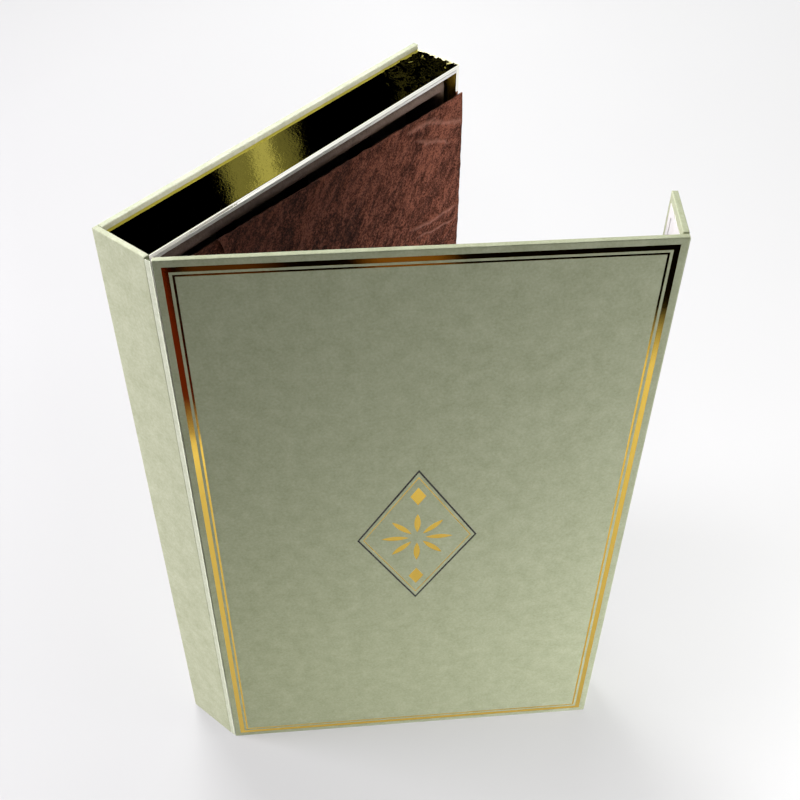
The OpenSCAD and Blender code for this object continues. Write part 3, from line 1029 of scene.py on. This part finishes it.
@dataclass
class Case:
    """Greyboard panels in cover paper, their linings, and the two paper creases."""

    finishes: Finishes
    nodes: dict[str, bpy.types.Object]
    # Sizes in mm: creases, their ends and their play, and the panels' edges
    crease_thick: float = 0.32
    cover_thick: float = 0.25
    crease_end: float = 0.6
    lid_setback: float = 0.3
    crease_clear: float = 0.12
    panel_edge: float = 3.2
    # Ripple of a crease, in mm, and its number of waves along the fold
    ripple: float = 0.04
    ripples: float = 38.0
    # Faces across and along a crease
    steps: tuple[int, int] = (12, 80)

    def dress(self) -> None:
        """Dresses the panels that the frame brings."""
        finishes = self.finishes
        dressing = [
            (finishes.cover, ("base_wrap", "spine_wrap", "lid_wrap", "flap_wrap")),
            (finishes.greyboard, ("base_board", "spine_board", "lid_board", "flap_board")),
            (finishes.white_card, ("lid_liner", "flap_liner")),
            (finishes.gold_stamp, ("foil_border_band", "foil_border_line", "foil_ornament")),
            (finishes.black_stamp, ("pigment_lozenge",)),
            (finishes.nickel, ("flap_magnets",)),
        ]
        Bench.dress_all(self.nodes, dressing)

    def strip(
        self, name: str, path: Callable[[float], Vector], thick: float, out: Vector
    ) -> bpy.types.Object:
        """Makes a strip of crease paper along the box's long side.

        Args:
            name: Name of the piece.
            path: Gives the point of its outer face at a share of the way across.
            thick: Thickness, in mm.
            out: Direction that its outer face looks in.

        Returns:
            The strip.
        """
        strip = Bench.grid(name, *self.steps)
        low = self.crease_end * MM
        height = (CASE_LENGTH - 2 * self.crease_end) * MM

        def lay(unit: Vector) -> Vector:
            """Lays a point of the unit grid on the curve, with a little ripple along the fold.

            Args:
                unit: The point, from 0 to 1 across and along the strip.

            Returns:
                Its place, in metres.
            """
            point = path(unit.x)
            ripple = noise.noise(Vector((unit.x * 2, unit.y * self.ripples, 3)))
            ripple *= math.sin(math.pi * unit.x)
            point = point + out * ripple * self.ripple * MM
            point.z = low + height * unit.y
            return point

        Bench.move_points(strip, lay)
        Bench.face_towards(strip, out)
        Bench.apply(strip, "SOLIDIFY", thickness=thick * MM, offset=-1)
        Bench.smooth(strip)
        Bench.dress(strip, self.finishes.crease)
        return strip

    def creases(self) -> list[bpy.types.Object]:
        """Builds the two creases.

        Returns:
            The spine's crease and the flap's.
        """
        # Each paper leaves its panel straight and bends round to the next panel's edge
        start = tray_point(0, self.panel_edge, 0)
        end = lid_point(self.lid_setback - self.crease_clear - self.crease_thick, self.crease_clear)
        pull = self.panel_edge / 2 * MM
        handles = [
            start,
            start - Vector((0, pull, 0)),
            end + Vector((self.crease_thick * MM, pull / 2, 0)),
            end,
        ]
        outward = Vector((-1, -0.4, 0)).normalized()
        spine = self.strip("spine_crease", lambda t: bezier(handles, t), self.crease_thick, outward)
        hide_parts("lid_hinge_paper")
        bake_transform(spine)

        edge_x, edge_y = turned(-self.lid_setback, self.crease_clear, FLAP_LEAN)
        edge_x += self.crease_clear
        tip_y = self.panel_edge - self.crease_clear
        corners = [
            (edge_x, edge_y),
            (edge_x + self.crease_thick, edge_y),
            (0.0, tip_y - self.panel_edge / 2),
            (0.0, tip_y),
        ]
        flap_handles = [flap_point(x, y) for x, y in corners]
        away = (flap_point(1, -1) - flap_point(0, 0)).normalized()
        fold = self.strip("flap_crease", lambda t: bezier(flap_handles, t), self.cover_thick, away)
        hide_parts("flap_hinge_paper")
        tuple(flap_point(0, 0.3))
        tuple(flap_point(0, self.panel_edge))
        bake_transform(fold)
        return [spine, fold]


def bezier(handles: list[Vector], t: float) -> Vector:
    """Gives a point of a cubic curve.

    Args:
        handles: Its four control points.
        t: Share of the way, from 0 to 1.

    Returns:
        The point.
    """
    u = 1 - t
    return u**3 * handles[0] + 3 * t * u * u * handles[1] + 3 * t * t * u * handles[2] + t**3 * handles[3]


@dataclass
class Tray:
    """Greyboard tray in mirror foil, with its card lining."""

    finishes: Finishes
    nodes: dict[str, bpy.types.Object]
    # Sizes of the foil, in mm
    foil_thick: float = 0.15
    wall: float = 1.9
    turn_in: float = 16.0
    turn_under: float = 12.0
    fold_radius: float = 0.45
    # Border round each flat that keeps the mirror flat right up to its folds
    fold_border: float = 0.15

    def dress(self) -> None:
        """Dresses the boards and the lining that the frame brings."""
        finishes = self.finishes
        boards = ("tray_floor", "tray_spine_wall", "tray_fore_wall", "tray_head_wall", "tray_tail_wall")
        dressing = [
            (finishes.greyboard, boards),
            (finishes.white_card, ("tray_lining", "corner_stays")),
            (finishes.nickel, ("keeper_discs",)),
        ]
        Bench.dress_all(self.nodes, dressing)

    def foil(self) -> bpy.types.Object:
        """Folds the foil round the tray: walls, rim, turn-in and turn-under, each fold rounded.

        Returns:
            The foil.
        """
        low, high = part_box("tray_foil_wrap")
        skin = Bench.block("tray_foil_skin", low, high)
        bpy.ops.object.mode_set(mode="EDIT")
        Bench.pick_faces(skin, lambda middle, normal: normal.y < -0.9)
        bpy.ops.mesh.inset(thickness=self.wall * MM, use_even_offset=True)
        bpy.ops.mesh.extrude_region_move(TRANSFORM_OT_translate={"value": (0, self.turn_in * MM, 0)})
        bpy.ops.mesh.delete(type="FACE")
        Bench.pick_faces(skin, lambda middle, normal: normal.y > 0.9)
        bpy.ops.mesh.inset(thickness=self.turn_under * MM, use_even_offset=True)
        bpy.ops.mesh.delete(type="FACE")
        Bench.pick_folds(skin, lambda middle, way: True)
        bpy.ops.mesh.bevel(offset=self.fold_radius * MM, segments=4, profile=0.5, affect="EDGES")
        Bench.pick_faces(skin, lambda middle, normal: max(abs(c) for c in normal) > 0.9999)
        bpy.ops.mesh.inset(thickness=self.fold_border * MM, use_even_offset=True, use_individual=True)
        bpy.ops.object.mode_set(mode="OBJECT")
        Bench.apply(skin, "SOLIDIFY", thickness=self.foil_thick * MM, offset=-1)
        Bench.smooth(skin)
        Bench.dress(skin, self.finishes.mirror)
        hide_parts("tray_foil_wrap")
        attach(skin, "base")
        return skin


@dataclass
class Insert:
    """Folded card collar and the slotted dividers below it."""

    finishes: Finishes
    nodes: dict[str, bpy.types.Object]
    # Sizes of the collar, in mm
    card: float = 0.8
    face: float = 5.8
    lip: float = 2.5
    fold_radius: float = 2.7
    # Play between the tray and the collar's soft outer fold: at its sides, at its ends, and in depth
    play: tuple[float, float, float] = (2.3, 3.2, 1.0)

    def dress(self) -> None:
        """Dresses the dividers that the frame brings."""
        dividers = tuple(name for name in self.nodes if "divider" in name)
        Bench.dress_all(self.nodes, [(self.finishes.dark_card, dividers)])

    def collar(self) -> bpy.types.Object:
        """Folds the collar: a lip, a face round the mouth and four walls down to the floor.

        Returns:
            The collar.
        """
        low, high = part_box("insert_collar")
        sides, ends, depth = self.play
        low = low + Vector((sides, depth, ends)) * MM
        high = high - Vector((sides, 0, ends)) * MM
        collar = Bench.block("card_collar", low, Vector((high.x, low.y + self.lip * MM, high.z)))
        bpy.ops.object.mode_set(mode="EDIT")
        Bench.pick_faces(collar, lambda middle, normal: normal.y > 0.9)
        bpy.ops.mesh.delete(type="FACE")
        Bench.pick_faces(collar, lambda middle, normal: normal.y < -0.9)
        bpy.ops.mesh.inset(thickness=self.face * MM, use_even_offset=True)
        bpy.ops.mesh.extrude_region_move(TRANSFORM_OT_translate={"value": (0, high.y - low.y, 0)})
        bpy.ops.mesh.delete(type="FACE")
        Bench.pick_folds(collar, lambda middle, way: True)
        bpy.ops.mesh.bevel(offset=self.fold_radius * MM, segments=7, profile=0.5, affect="EDGES")
        bpy.ops.object.mode_set(mode="OBJECT")
        Bench.apply(collar, "SOLIDIFY", thickness=self.card * MM, offset=-1)
        Bench.smooth(collar)
        Bench.dress(collar, self.finishes.taupe_card)
        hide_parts("insert_collar")
        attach(collar, "base")
        return collar


@dataclass(frozen=True)
class SheetCut:
    """Outline and lie of one padded sheet, in mm of the tray's frame."""

    # The four edges, the fall of the head to the fore edge, the place in depth, and the waves' seed
    spine_edge: float
    fore_edge: float
    foot: float
    head: float
    head_fall: float
    depth: float
    seed: float
    # How far the fore edge is pushed out, and how far below the head it reaches that
    bow: float = 0.0
    bow_run: float = 30.0
    # Notch that the creased spine-side corner leaves below the head
    notch: float = 0.0


@dataclass
class PaddedSheets:
    """Two equal padded sheets of embossed glassine, slid apart over the insert."""

    finishes: Finishes
    # Thickness at the middle of a sheet, in mm, and the share of it that is left at the edges
    crown: float = 1.4
    edge_share: float = 0.4
    # How far back from its middle a sheet still shows a crease, in mm, and how much of it
    back_reach: float = 0.4
    back_share: float = 0.3
    # Faces across and along a sheet
    steps: tuple[int, int] = (120, 220)
    # Rise and fall of a whole sheet, raggedness of its sides and ends, folds and fine folds, in mm
    wave: float = 0.32
    ragged: tuple[float, float] = (0.5, 0.6)
    folds: tuple[float, float] = (0.14, 0.07)
    # Start and run of the notch below the head, and run of the bow above the foot, in mm
    notch_run: tuple[float, float] = (7.0, 45.0)
    foot_run: float = 40.0
    # Creases of handling on the front sheet: two ends, width and height, in mm
    creases: tuple[tuple[float, float, float, float, float, float], ...] = (
        (148.0, 248.5, 187.0, 244.5, 1.4, 0.36),
        (146.0, 301.0, 166.0, 301.0, 1.5, 0.30),
        (162.0, 301.2, 186.0, 290.0, 1.5, 0.36),
        (98.0, 236.0, 128.0, 262.0, 1.6, 0.22),
        (60.0, 262.0, 84.0, 290.0, 1.8, 0.16),
        (150.0, 214.0, 186.0, 236.0, 1.5, 0.26),
        (104.0, 120.0, 178.0, 164.0, 2.2, 0.20),
        (48.0, 60.0, 96.0, 122.0, 2.0, 0.18),
    )

    def lie(self, cut: SheetCut, a: float, b: float) -> Vector:
        """Places a point of a sheet.

        Args:
            cut: Outline and lie of the sheet.
            a: Share of the way from its spine edge to its fore edge.
            b: Share of the way from its foot to its head.

        Returns:
            The point, in metres.
        """
        head = cut.head - cut.head_fall * a
        z = cut.foot + (head - cut.foot) * b
        below = head - z
        above = z - cut.foot
        start, run = self.notch_run
        left = cut.spine_edge + cut.notch * (1 - math.exp(-below / start)) * math.exp(-below / run)
        bow = (1 - math.exp(-below / cut.bow_run)) * (1 - math.exp(-above / self.foot_run))
        right = cut.fore_edge + cut.bow * bow
        x = left + (right - left) * a
        # The edges are ragged in waves of 4 mm, only in the last bit before them
        ragged = noise.noise(Vector((x * 0.22, z * 0.22, cut.seed)))
        rim = max(abs(2 * a - 1), abs(2 * b - 1)) ** 24
        x += ragged * self.ragged[0] * rim
        z += noise.noise(Vector((x * 0.25, cut.seed, z * 0.25))) * self.ragged[1] * rim
        # The whole sheet rises and falls in waves of 45 by 60 mm
        wave = noise.noise(Vector((x * 0.022, z * 0.016, cut.seed + 5)))
        return tray_point(x, cut.depth + self.wave * wave, z)

    def raised(self, cut: SheetCut, x: float, z: float) -> float:
        """Gives the height of the creases and the crumple at a place of the front face.

        Args:
            cut: Outline and lie of the sheet.
            x: Place across the tray, in mm.
            z: Place along the tray, in mm.

        Returns:
            The height, in mm.
        """
        height = 0.0
        # Only the bowed sheet, in front, was creased by handling. Each crease fades to its ends
        if cut.bow > 0:
            for x0, z0, x1, z1, width, tall in self.creases:
                run = Vector((x1 - x0, z1 - z0))
                spot = Vector((x - x0, z - z0))
                share = max(0.0, min(1.0, spot.dot(run) / run.length_squared))
                gap = (spot - run * share).length
                fade = math.sin(math.pi * min(1.0, max(0.0, 0.08 + share * 0.84)))
                height += tall * fade * math.exp(-((gap / width) ** 2))
        # The folds run along a slant, 20 by 6 mm, with finer ones of 8 by 3 mm
        slanted = Vector((0.8 * x + 0.5 * z, -0.5 * x + 0.8 * z, 0))
        crumple = noise.noise(Vector((slanted.x * 0.05, slanted.y * 0.16, cut.seed + 9)))
        fine = noise.noise(Vector((slanted.x * 0.12, slanted.y * 0.36, cut.seed + 13)))
        return height + self.folds[0] * crumple + self.folds[1] * fine

    def build(self, name: str, node: str, cut: SheetCut) -> bpy.types.Object:
        """Builds one sheet.

        Args:
            name: Name of the piece.
            node: CAD node that it stands for.
            cut: Outline and lie of the sheet.

        Returns:
            The sheet.
        """
        sheet = Bench.grid(name, *self.steps)
        swell = [self.thickness(v.co.x, v.co.y) for v in sheet.data.vertices]
        Bench.move_points(sheet, lambda unit: self.lie(cut, unit.x, unit.y))
        Bench.face_towards(sheet, Vector(MOUTH_WAY))
        group = sheet.vertex_groups.new(name="swell")
        for index, share in enumerate(swell):
            group.add([index], share, "REPLACE")
        Bench.apply(
            sheet,
            "SOLIDIFY",
            thickness=self.crown * MM,
            offset=0,
            vertex_group="swell",
            thickness_vertex_group=self.edge_share,
        )
        # The creases stand on the front face, and show less behind the middle
        middle = tray_point(0, cut.depth, 0).y
        for vertex in sheet.data.vertices:
            if vertex.co.y < middle + self.back_reach * MM:
                x = (vertex.co.x - CREASE.x) / MM
                z = vertex.co.z / MM
                share = 1.0 if vertex.co.y < middle else self.back_share
                vertex.co.y -= share * self.raised(cut, x, z) * MM
        sheet.data.update()
        Bench.smooth(sheet, 60)
        Bench.dress(sheet, self.finishes.glassine)
        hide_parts(node)
        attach(sheet, "base")
        return sheet

    def thickness(self, a: float, b: float) -> float:
        """Gives the swell of a sheet, from 0 at its edges to 1 over its middle."""
        return (1 - (2 * a - 1) ** 6) * (1 - (2 * b - 1) ** 6)

    def both(self) -> list[bpy.types.Object]:
        """Builds the two sheets.

        Returns:
            The rear sheet and the front one.
        """
        rear = SheetCut(8.0, 158.4, 6.0, 306.9, 6.0, 6.36, seed=2.0)
        front = SheetCut(
            34.2, 186.5, 6.0, 308.0, 3.7, 3.98, seed=7.0, bow=1.4, bow_run=18.0, notch=5.5
        )
        return [
            self.build("rear_padded_sheet", "rear_pad", rear),
            self.build("front_padded_sheet", "front_pad", front),
        ]


@dataclass(frozen=True)
class Lamp:
    """Soft area lamp."""

    name: str
    place: tuple[float, float, float]
    aim: tuple[float, float, float]
    size: tuple[float, float]
    power: float
    tint: str = "#FFFFFF"

    def build(self) -> bpy.types.Object:
        """Builds the lamp, unseen by the camera and by mirrors.

        Returns:
            The lamp.
        """
        data = bpy.data.lights.new(self.name, "AREA")
        data.shape = "RECTANGLE"
        data.size, data.size_y = self.size
        data.energy = self.power
        data.color = linear(self.tint)[:3]
        lamp = bpy.data.objects.new(self.name, data)
        bpy.context.scene.collection.objects.link(lamp)
        way = Vector(self.aim) - Vector(self.place)
        lamp.location = self.place
        lamp.rotation_euler = way.to_track_quat("-Z", "Y").to_euler()
        lamp.visible_camera = False
        lamp.visible_glossy = False
        return lamp


class TableTone(Enum):
    """Colours of the dark table that the stamped foil mirrors."""

    RED_EDGE = "#66281E"
    GAP = "#060300"
    BROWN_BOARD = "#4C301C"
    PALE_BOARD = "#7C5A34"


@dataclass
class Studio:
    """Pale floor, soft lamps, the room that the foils mirror, and the camera."""

    # Camera: place in metres, then turn, height and roll of its line of sight, in degrees
    eye: tuple[float, float, float] = (-0.2853, -0.2106, 0.5594)
    azimuth: float = -51.98
    elevation: float = 43.87
    roll: float = 1.06
    # Lens in mm, and shift of the picture
    lens: float = 51.03
    shift: tuple[float, float] = (-0.00975, -0.0060)
    # Side of the floor, in metres
    floor_size: float = 12.0
    # Floor as seen: share and strength of its own light, and the share of lamp light it throws back
    floor_share: float = 0.75
    floor_lift: float = 0.675
    floor_slope: float = 0.11
    floor_bounce: float = 0.06
    # Way along the floor in which its painted light grows, and start and end of that, in metres
    bright_side: tuple[float, float, float] = (0.846, -0.534, 0.0)
    bright_run: tuple[float, float] = (-0.17, 0.25)
    # Colour and strength of the room's own light
    room_tint: str = "#F2F4F6"
    room_light: float = 0.02
    # The table along its edge: a red edge, a brown board and a paler one, with dark gaps between
    table_bands: tuple[tuple[float, TableTone], ...] = (
        (0.186, TableTone.RED_EDGE),
        (0.191, TableTone.GAP),
        (0.203, TableTone.GAP),
        (0.225, TableTone.BROWN_BOARD),
        (0.295, TableTone.BROWN_BOARD),
        (0.350, TableTone.GAP),
        (0.435, TableTone.GAP),
        (0.472, TableTone.PALE_BOARD),
        (0.545, TableTone.PALE_BOARD),
        (0.580, TableTone.GAP),
    )
    # Length and depth of the table, and how far it laps over the paper, in metres
    table_size: tuple[float, float] = (4.0, 2.5)
    table_lap: float = 0.1
    # Start and end of the bands along the table, and of its blurred edge, in metres
    table_run: tuple[float, float] = (-0.1, 0.5)
    table_blur: tuple[float, float] = (-0.066, -0.008)
    # The window on the wall, as place and brightness: a dim pane, a bright one and a dim one
    window_bands: tuple[tuple[float, float], ...] = (
        (0.060, 0.0),
        (0.082, 0.22),
        (0.118, 0.22),
        (0.128, 0.12),
        (0.148, 0.50),
        (0.200, 0.50),
        (0.206, 0.18),
        (0.264, 0.12),
        (0.276, 0.0),
    )
    # Faint lights beyond the window: their places, half their width and their brightness
    faint_lights: tuple[float, ...] = (0.62, 0.76, 0.93)
    faint_width: float = 0.02
    faint_level: float = 0.06
    # Lowest corner and size of the wall, in metres
    wall_low: tuple[float, float, float] = (-1.5, 2.0, 0.8)
    wall_size: tuple[float, float] = (9.0, 12.0)
    # Start and end of the bands along the wall, in metres, with their slope, shift and waver
    wall_run: tuple[float, float] = (1.55, 3.05)
    wall_slope: float = -0.2
    wall_shift: float = 0.37
    wall_waver: float = 0.06
    # Edge of the bright paper on the table, as two points of the floor in metres
    table_edge: tuple[Vector, Vector] = (Vector((-0.3222, -0.101, 0)), Vector((-0.1102, -0.435, 0)))
    # Each lamp: name, place, aim and size in metres, power in watts, tint
    lamps: tuple[Lamp, ...] = (
        Lamp("overhead_window", (0.30, 0.78, 1.72), (0, 0, 0.16), (0.5, 0.5), 32.0),
        Lamp("back_window", (1.20, 1.10, 1.20), (0, 0, 0.16), (1.0, 1.0), 13.0),
        Lamp("spine_window", (-0.75, 0.98, 0.30), (-0.09, 0.07, 0.10), (0.5, 0.3), 22.0, "#FAF5FF"),
        Lamp("spine_skylight", (-0.72, 1.10, 0.80), (-0.09, 0.07, 0.16), (0.45, 0.45), 13.5, "#FAF5FF"),
        Lamp("fore_window", (0.30, -0.55, 0.28), (0.06, 0.05, 0.24), (0.24, 0.16), 1.05, "#FFFAEC"),
        Lamp("front_table_glow", (0.14, -0.50, 0.05), (0.02, -0.06, 0.05), (0.30, 0.06), 3.5, "#FAFAFF"),
        Lamp("fore_table_glow", (0.13, -0.28, 0.015), (0.03, -0.07, 0.06), (0.20, 0.02), 0.21),
        Lamp("near_table_glow", (-0.22, -0.14, 0.02), (-0.08, 0.02, 0.04), (0.20, 0.03), 0.16, "#FFFFEA"),
        Lamp("head_strip_lamp", (0.0, 0.062, 0.340), (0.0, 0.082, 0.319), (0.186, 0.006), 0.055, "#EAE2FF"),
    )

    def camera(self) -> None:
        """Sets the camera as the photograph was taken."""
        data = bpy.data.cameras.new("photo_camera")
        data.lens = self.lens
        data.sensor_width = 36.0
        data.shift_x, data.shift_y = self.shift
        data.clip_start = 0.01
        data.clip_end = 50.0
        camera = bpy.data.objects.new("photo_camera", data)
        bpy.context.scene.collection.objects.link(camera)
        turn = math.radians(self.azimuth)
        lift = math.radians(self.elevation)
        roll = math.radians(self.roll)
        back = Vector((math.sin(turn) * math.cos(lift), -math.cos(turn) * math.cos(lift), math.sin(lift)))
        level = Vector((math.cos(turn), math.sin(turn), 0))
        upright = back.cross(level)
        right = math.cos(roll) * level + math.sin(roll) * upright
        above = math.cos(roll) * upright - math.sin(roll) * level
        pose = Matrix((right, above, back)).transposed().to_4x4()
        pose.translation = Vector(self.eye)
        camera.matrix_world = pose
        bpy.context.scene.camera = camera

    def light(self) -> None:
        """Sets the lamps and the room's light."""
        for lamp in self.lamps:
            lamp.build()
        world = bpy.data.worlds.new("pale_room")
        bpy.context.scene.world = world
        world.use_nodes = True
        tree = world.node_tree
        tree.nodes.clear()
        ambient = add_node(
            tree,
            "ShaderNodeBackground",
            inputs={"Color": linear(self.room_tint), "Strength": self.room_light},
        )
        white = add_node(tree, "ShaderNodeBackground", inputs={"Color": grey(1.0), "Strength": 1.0})
        mix = add_node(tree, "ShaderNodeMixShader", inputs={0: seen_share(tree), 1: ambient, 2: white})
        add_node(tree, "ShaderNodeOutputWorld", inputs={"Surface": mix})

    def floor_surface(self, tree: bpy.types.NodeTree) -> bpy.types.Node:
        """Adds the nodes of the white paper.

        Args:
            tree: Node tree of the material.

        Returns:
            The last node, which gives the surface.
        """
        here = add_node(tree, "ShaderNodeTexCoord").outputs["Object"]
        # Matt paper, unprinted: an even white without shine, barely clouded
        cloud = add_node(
            tree, "ShaderNodeTexNoise", inputs={"Vector": here, "Scale": per_metre(300), "Detail": 2.0}
        )
        colour = add_node(
            tree,
            "ShaderNodeValToRGB",
            {"stops": [(0.3, linear("#F4F4F4")), (0.7, linear("#F8F8F8"))]},
            {"Fac": cloud},
        )
        matt = add_node(tree, "ShaderNodeBsdfDiffuse", inputs={"Color": colour})
        # Painted light: the paper's own glow grows a little towards the fore edge's side
        across = add_node(
            tree, "ShaderNodeVectorMath", {"operation": "DOT_PRODUCT"}, {0: here, 1: self.bright_side}
        )
        strength = add_node(
            tree,
            "ShaderNodeMapRange",
            inputs={
                "Value": across,
                "From Min": self.bright_run[0],
                "From Max": self.bright_run[1],
                "To Min": self.floor_lift - self.floor_slope,
                "To Max": self.floor_lift + self.floor_slope,
            },
        )
        lift = add_node(tree, "ShaderNodeEmission", inputs={"Color": grey(1.0), "Strength": strength})
        bright = add_node(tree, "ShaderNodeMixShader", inputs={0: self.floor_share, 1: matt, 2: lift})
        dull = add_node(tree, "ShaderNodeBsdfDiffuse", inputs={"Color": grey(self.floor_bounce)})
        return add_node(tree, "ShaderNodeMixShader", inputs={0: seen_share(tree), 1: dull, 2: bright})

    def floor(self) -> None:
        """Lays the pale floor, which keeps the box's shadow."""
        floor = Bench.grid("studio_floor", 1, 1)
        size = self.floor_size
        Bench.move_points(
            floor, lambda unit: Vector((size * unit.x - size / 2, size * unit.y - size / 2, 0))
        )
        Bench.dress(floor, make_material("matt_white_paper_sweep", self.floor_surface))

    def mirror_only(self, card: bpy.types.Object) -> None:
        """Makes a card that only mirrors see.

        Args:
            card: The card.
        """
        card.visible_camera = False
        card.visible_diffuse = False
        card.visible_transmission = False
        card.visible_volume_scatter = False
        card.visible_shadow = False

    def table_ways(self) -> tuple[Vector, Vector]:
        """Gives the table's two directions.

        Returns:
            The way along the paper's edge, and the way from there over the table.
        """
        first, second = self.table_edge
        along = (second - first).normalized()
        return along, Vector((along.y, -along.x, 0))

    def table_surface(self, tree: bpy.types.NodeTree) -> bpy.types.Node:
        """Adds the nodes of the dark table.

        Args:
            tree: Node tree of the material.

        Returns:
            The last node, which gives the surface.
        """
        here = add_node(tree, "ShaderNodeTexCoord").outputs["Object"]
        first = tuple(self.table_edge[0])
        spot = add_node(tree, "ShaderNodeVectorMath", {"operation": "SUBTRACT"}, {0: here, 1: first})
        run, reach = [
            add_node(tree, "ShaderNodeVectorMath", {"operation": "DOT_PRODUCT"}, {0: spot, 1: tuple(way)})
            for way in self.table_ways()
        ]
        start, end = self.table_run
        share = add_node(
            tree, "ShaderNodeMapRange", inputs={"Value": run, "From Min": start, "From Max": end}
        )
        stops = [(place, linear(tone.value)) for place, tone in self.table_bands]
        colour = add_node(tree, "ShaderNodeValToRGB", {"stops": stops}, {"Fac": share})
        dark = add_node(tree, "ShaderNodeEmission", inputs={"Color": colour, "Strength": 1.0})
        clear = add_node(tree, "ShaderNodeBsdfTransparent")
        start, end = self.table_blur
        edge = add_node(
            tree, "ShaderNodeMapRange", inputs={"Value": reach, "From Min": start, "From Max": end}
        )
        return add_node(tree, "ShaderNodeMixShader", inputs={0: edge, 1: clear, 2: dark})

    def table(self) -> None:
        """Lays the dark table beyond the white paper, which the stamped foil mirrors."""
        card = Bench.grid("dark_table_card", 1, 1)
        first = self.table_edge[0]
        along, away = self.table_ways()
        length, depth = self.table_size
        # It lies 0.6 mm above the floor, so that no mirror sees the two faces fight
        lift = Vector((0, 0, 0.6 * MM))

        def lay(unit: Vector) -> Vector:
            """Lays a corner of the unit grid on the table.

            Args:
                unit: The corner, from 0 to 1 along the table and over it.

            Returns:
                Its place, in metres.
            """
            over = along * (unit.x * length - length / 2) + away * (unit.y * depth - self.table_lap)
            return first + over + lift

        Bench.move_points(card, lay)
        Bench.dress(card, make_material("dark_tabletop_seen_in_foil", self.table_surface))
        self.mirror_only(card)

    def wall_surface(self, tree: bpy.types.NodeTree) -> bpy.types.Node:
        """Adds the nodes of the dark wall.

        Args:
            tree: Node tree of the material.

        Returns:
            The last node, which gives the surface.
        """
        here = add_node(tree, "ShaderNodeTexCoord").outputs["Object"]
        axes = add_node(tree, "ShaderNodeSeparateXYZ", inputs={"Vector": here})
        slope = add_node(
            tree,
            "ShaderNodeMath",
            {"operation": "MULTIPLY_ADD"},
            {0: axes.outputs["Z"], 1: self.wall_slope, 2: self.wall_shift},
        )
        lean = add_node(tree, "ShaderNodeMath", {"operation": "ADD"}, {0: axes.outputs["X"], 1: slope})
        cloud = add_node(
            tree, "ShaderNodeTexNoise", inputs={"Vector": here, "Scale": per_metre(90), "Detail": 3.0}
        )
        wavy = add_node(
            tree, "ShaderNodeMath", {"operation": "MULTIPLY_ADD"}, {0: cloud, 1: self.wall_waver, 2: lean}
        )
        start, end = self.wall_run
        share = add_node(
            tree, "ShaderNodeMapRange", inputs={"Value": wavy, "From Min": start, "From Max": end}
        )
        bands = list(self.window_bands)
        for place in self.faint_lights:
            bands.append((place - self.faint_width, 0.0))
            bands.append((place, self.faint_level))
            bands.append((place + self.faint_width, 0.0))
        stops = [(place, grey(level)) for place, level in bands]
        colour = add_node(tree, "ShaderNodeValToRGB", {"stops": stops}, {"Fac": share})
        return add_node(tree, "ShaderNodeEmission", inputs={"Color": colour, "Strength": 1.0})

    def wall(self) -> None:
        """Stands the dark wall with its pale window, which the tray's foil mirrors."""
        card = Bench.grid("dark_wall_card", 1, 1)
        width, height = self.wall_size
        low = Vector(self.wall_low)
        Bench.move_points(card, lambda unit: low + Vector((width * unit.x, 0, height * unit.y)))
        Bench.dress(card, make_material("dark_wall_seen_in_foil", self.wall_surface))
        self.mirror_only(card)

    def build(self) -> None:
        """Builds the whole set."""
        self.camera()
        self.light()
        self.floor()
        self.table()
        self.wall()
        bpy.context.scene.view_settings.view_transform = "Standard"


def main() -> None:
    """Builds the box over its frame, and the studio round it."""
    logging.basicConfig(level=logging.INFO, format="%(message)s")
    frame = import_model()
    nodes = frame["nodes"]
    finishes = Finishes()

    case = Case(finishes, nodes)
    case.dress()
    for crease in case.creases():
        log.info("case: %s", crease.name)

    tray = Tray(finishes, nodes)
    tray.dress()
    log.info("tray: %s", tray.foil().name)

    insert = Insert(finishes, nodes)
    insert.dress()
    log.info("insert: %s", insert.collar().name)

    for sheet in PaddedSheets(finishes).both():
        log.info("padding: %s", sheet.name)

    Studio().build()
    log.info("studio: camera, lamps, floor and cards")


if __name__ == "__main__":
    main()
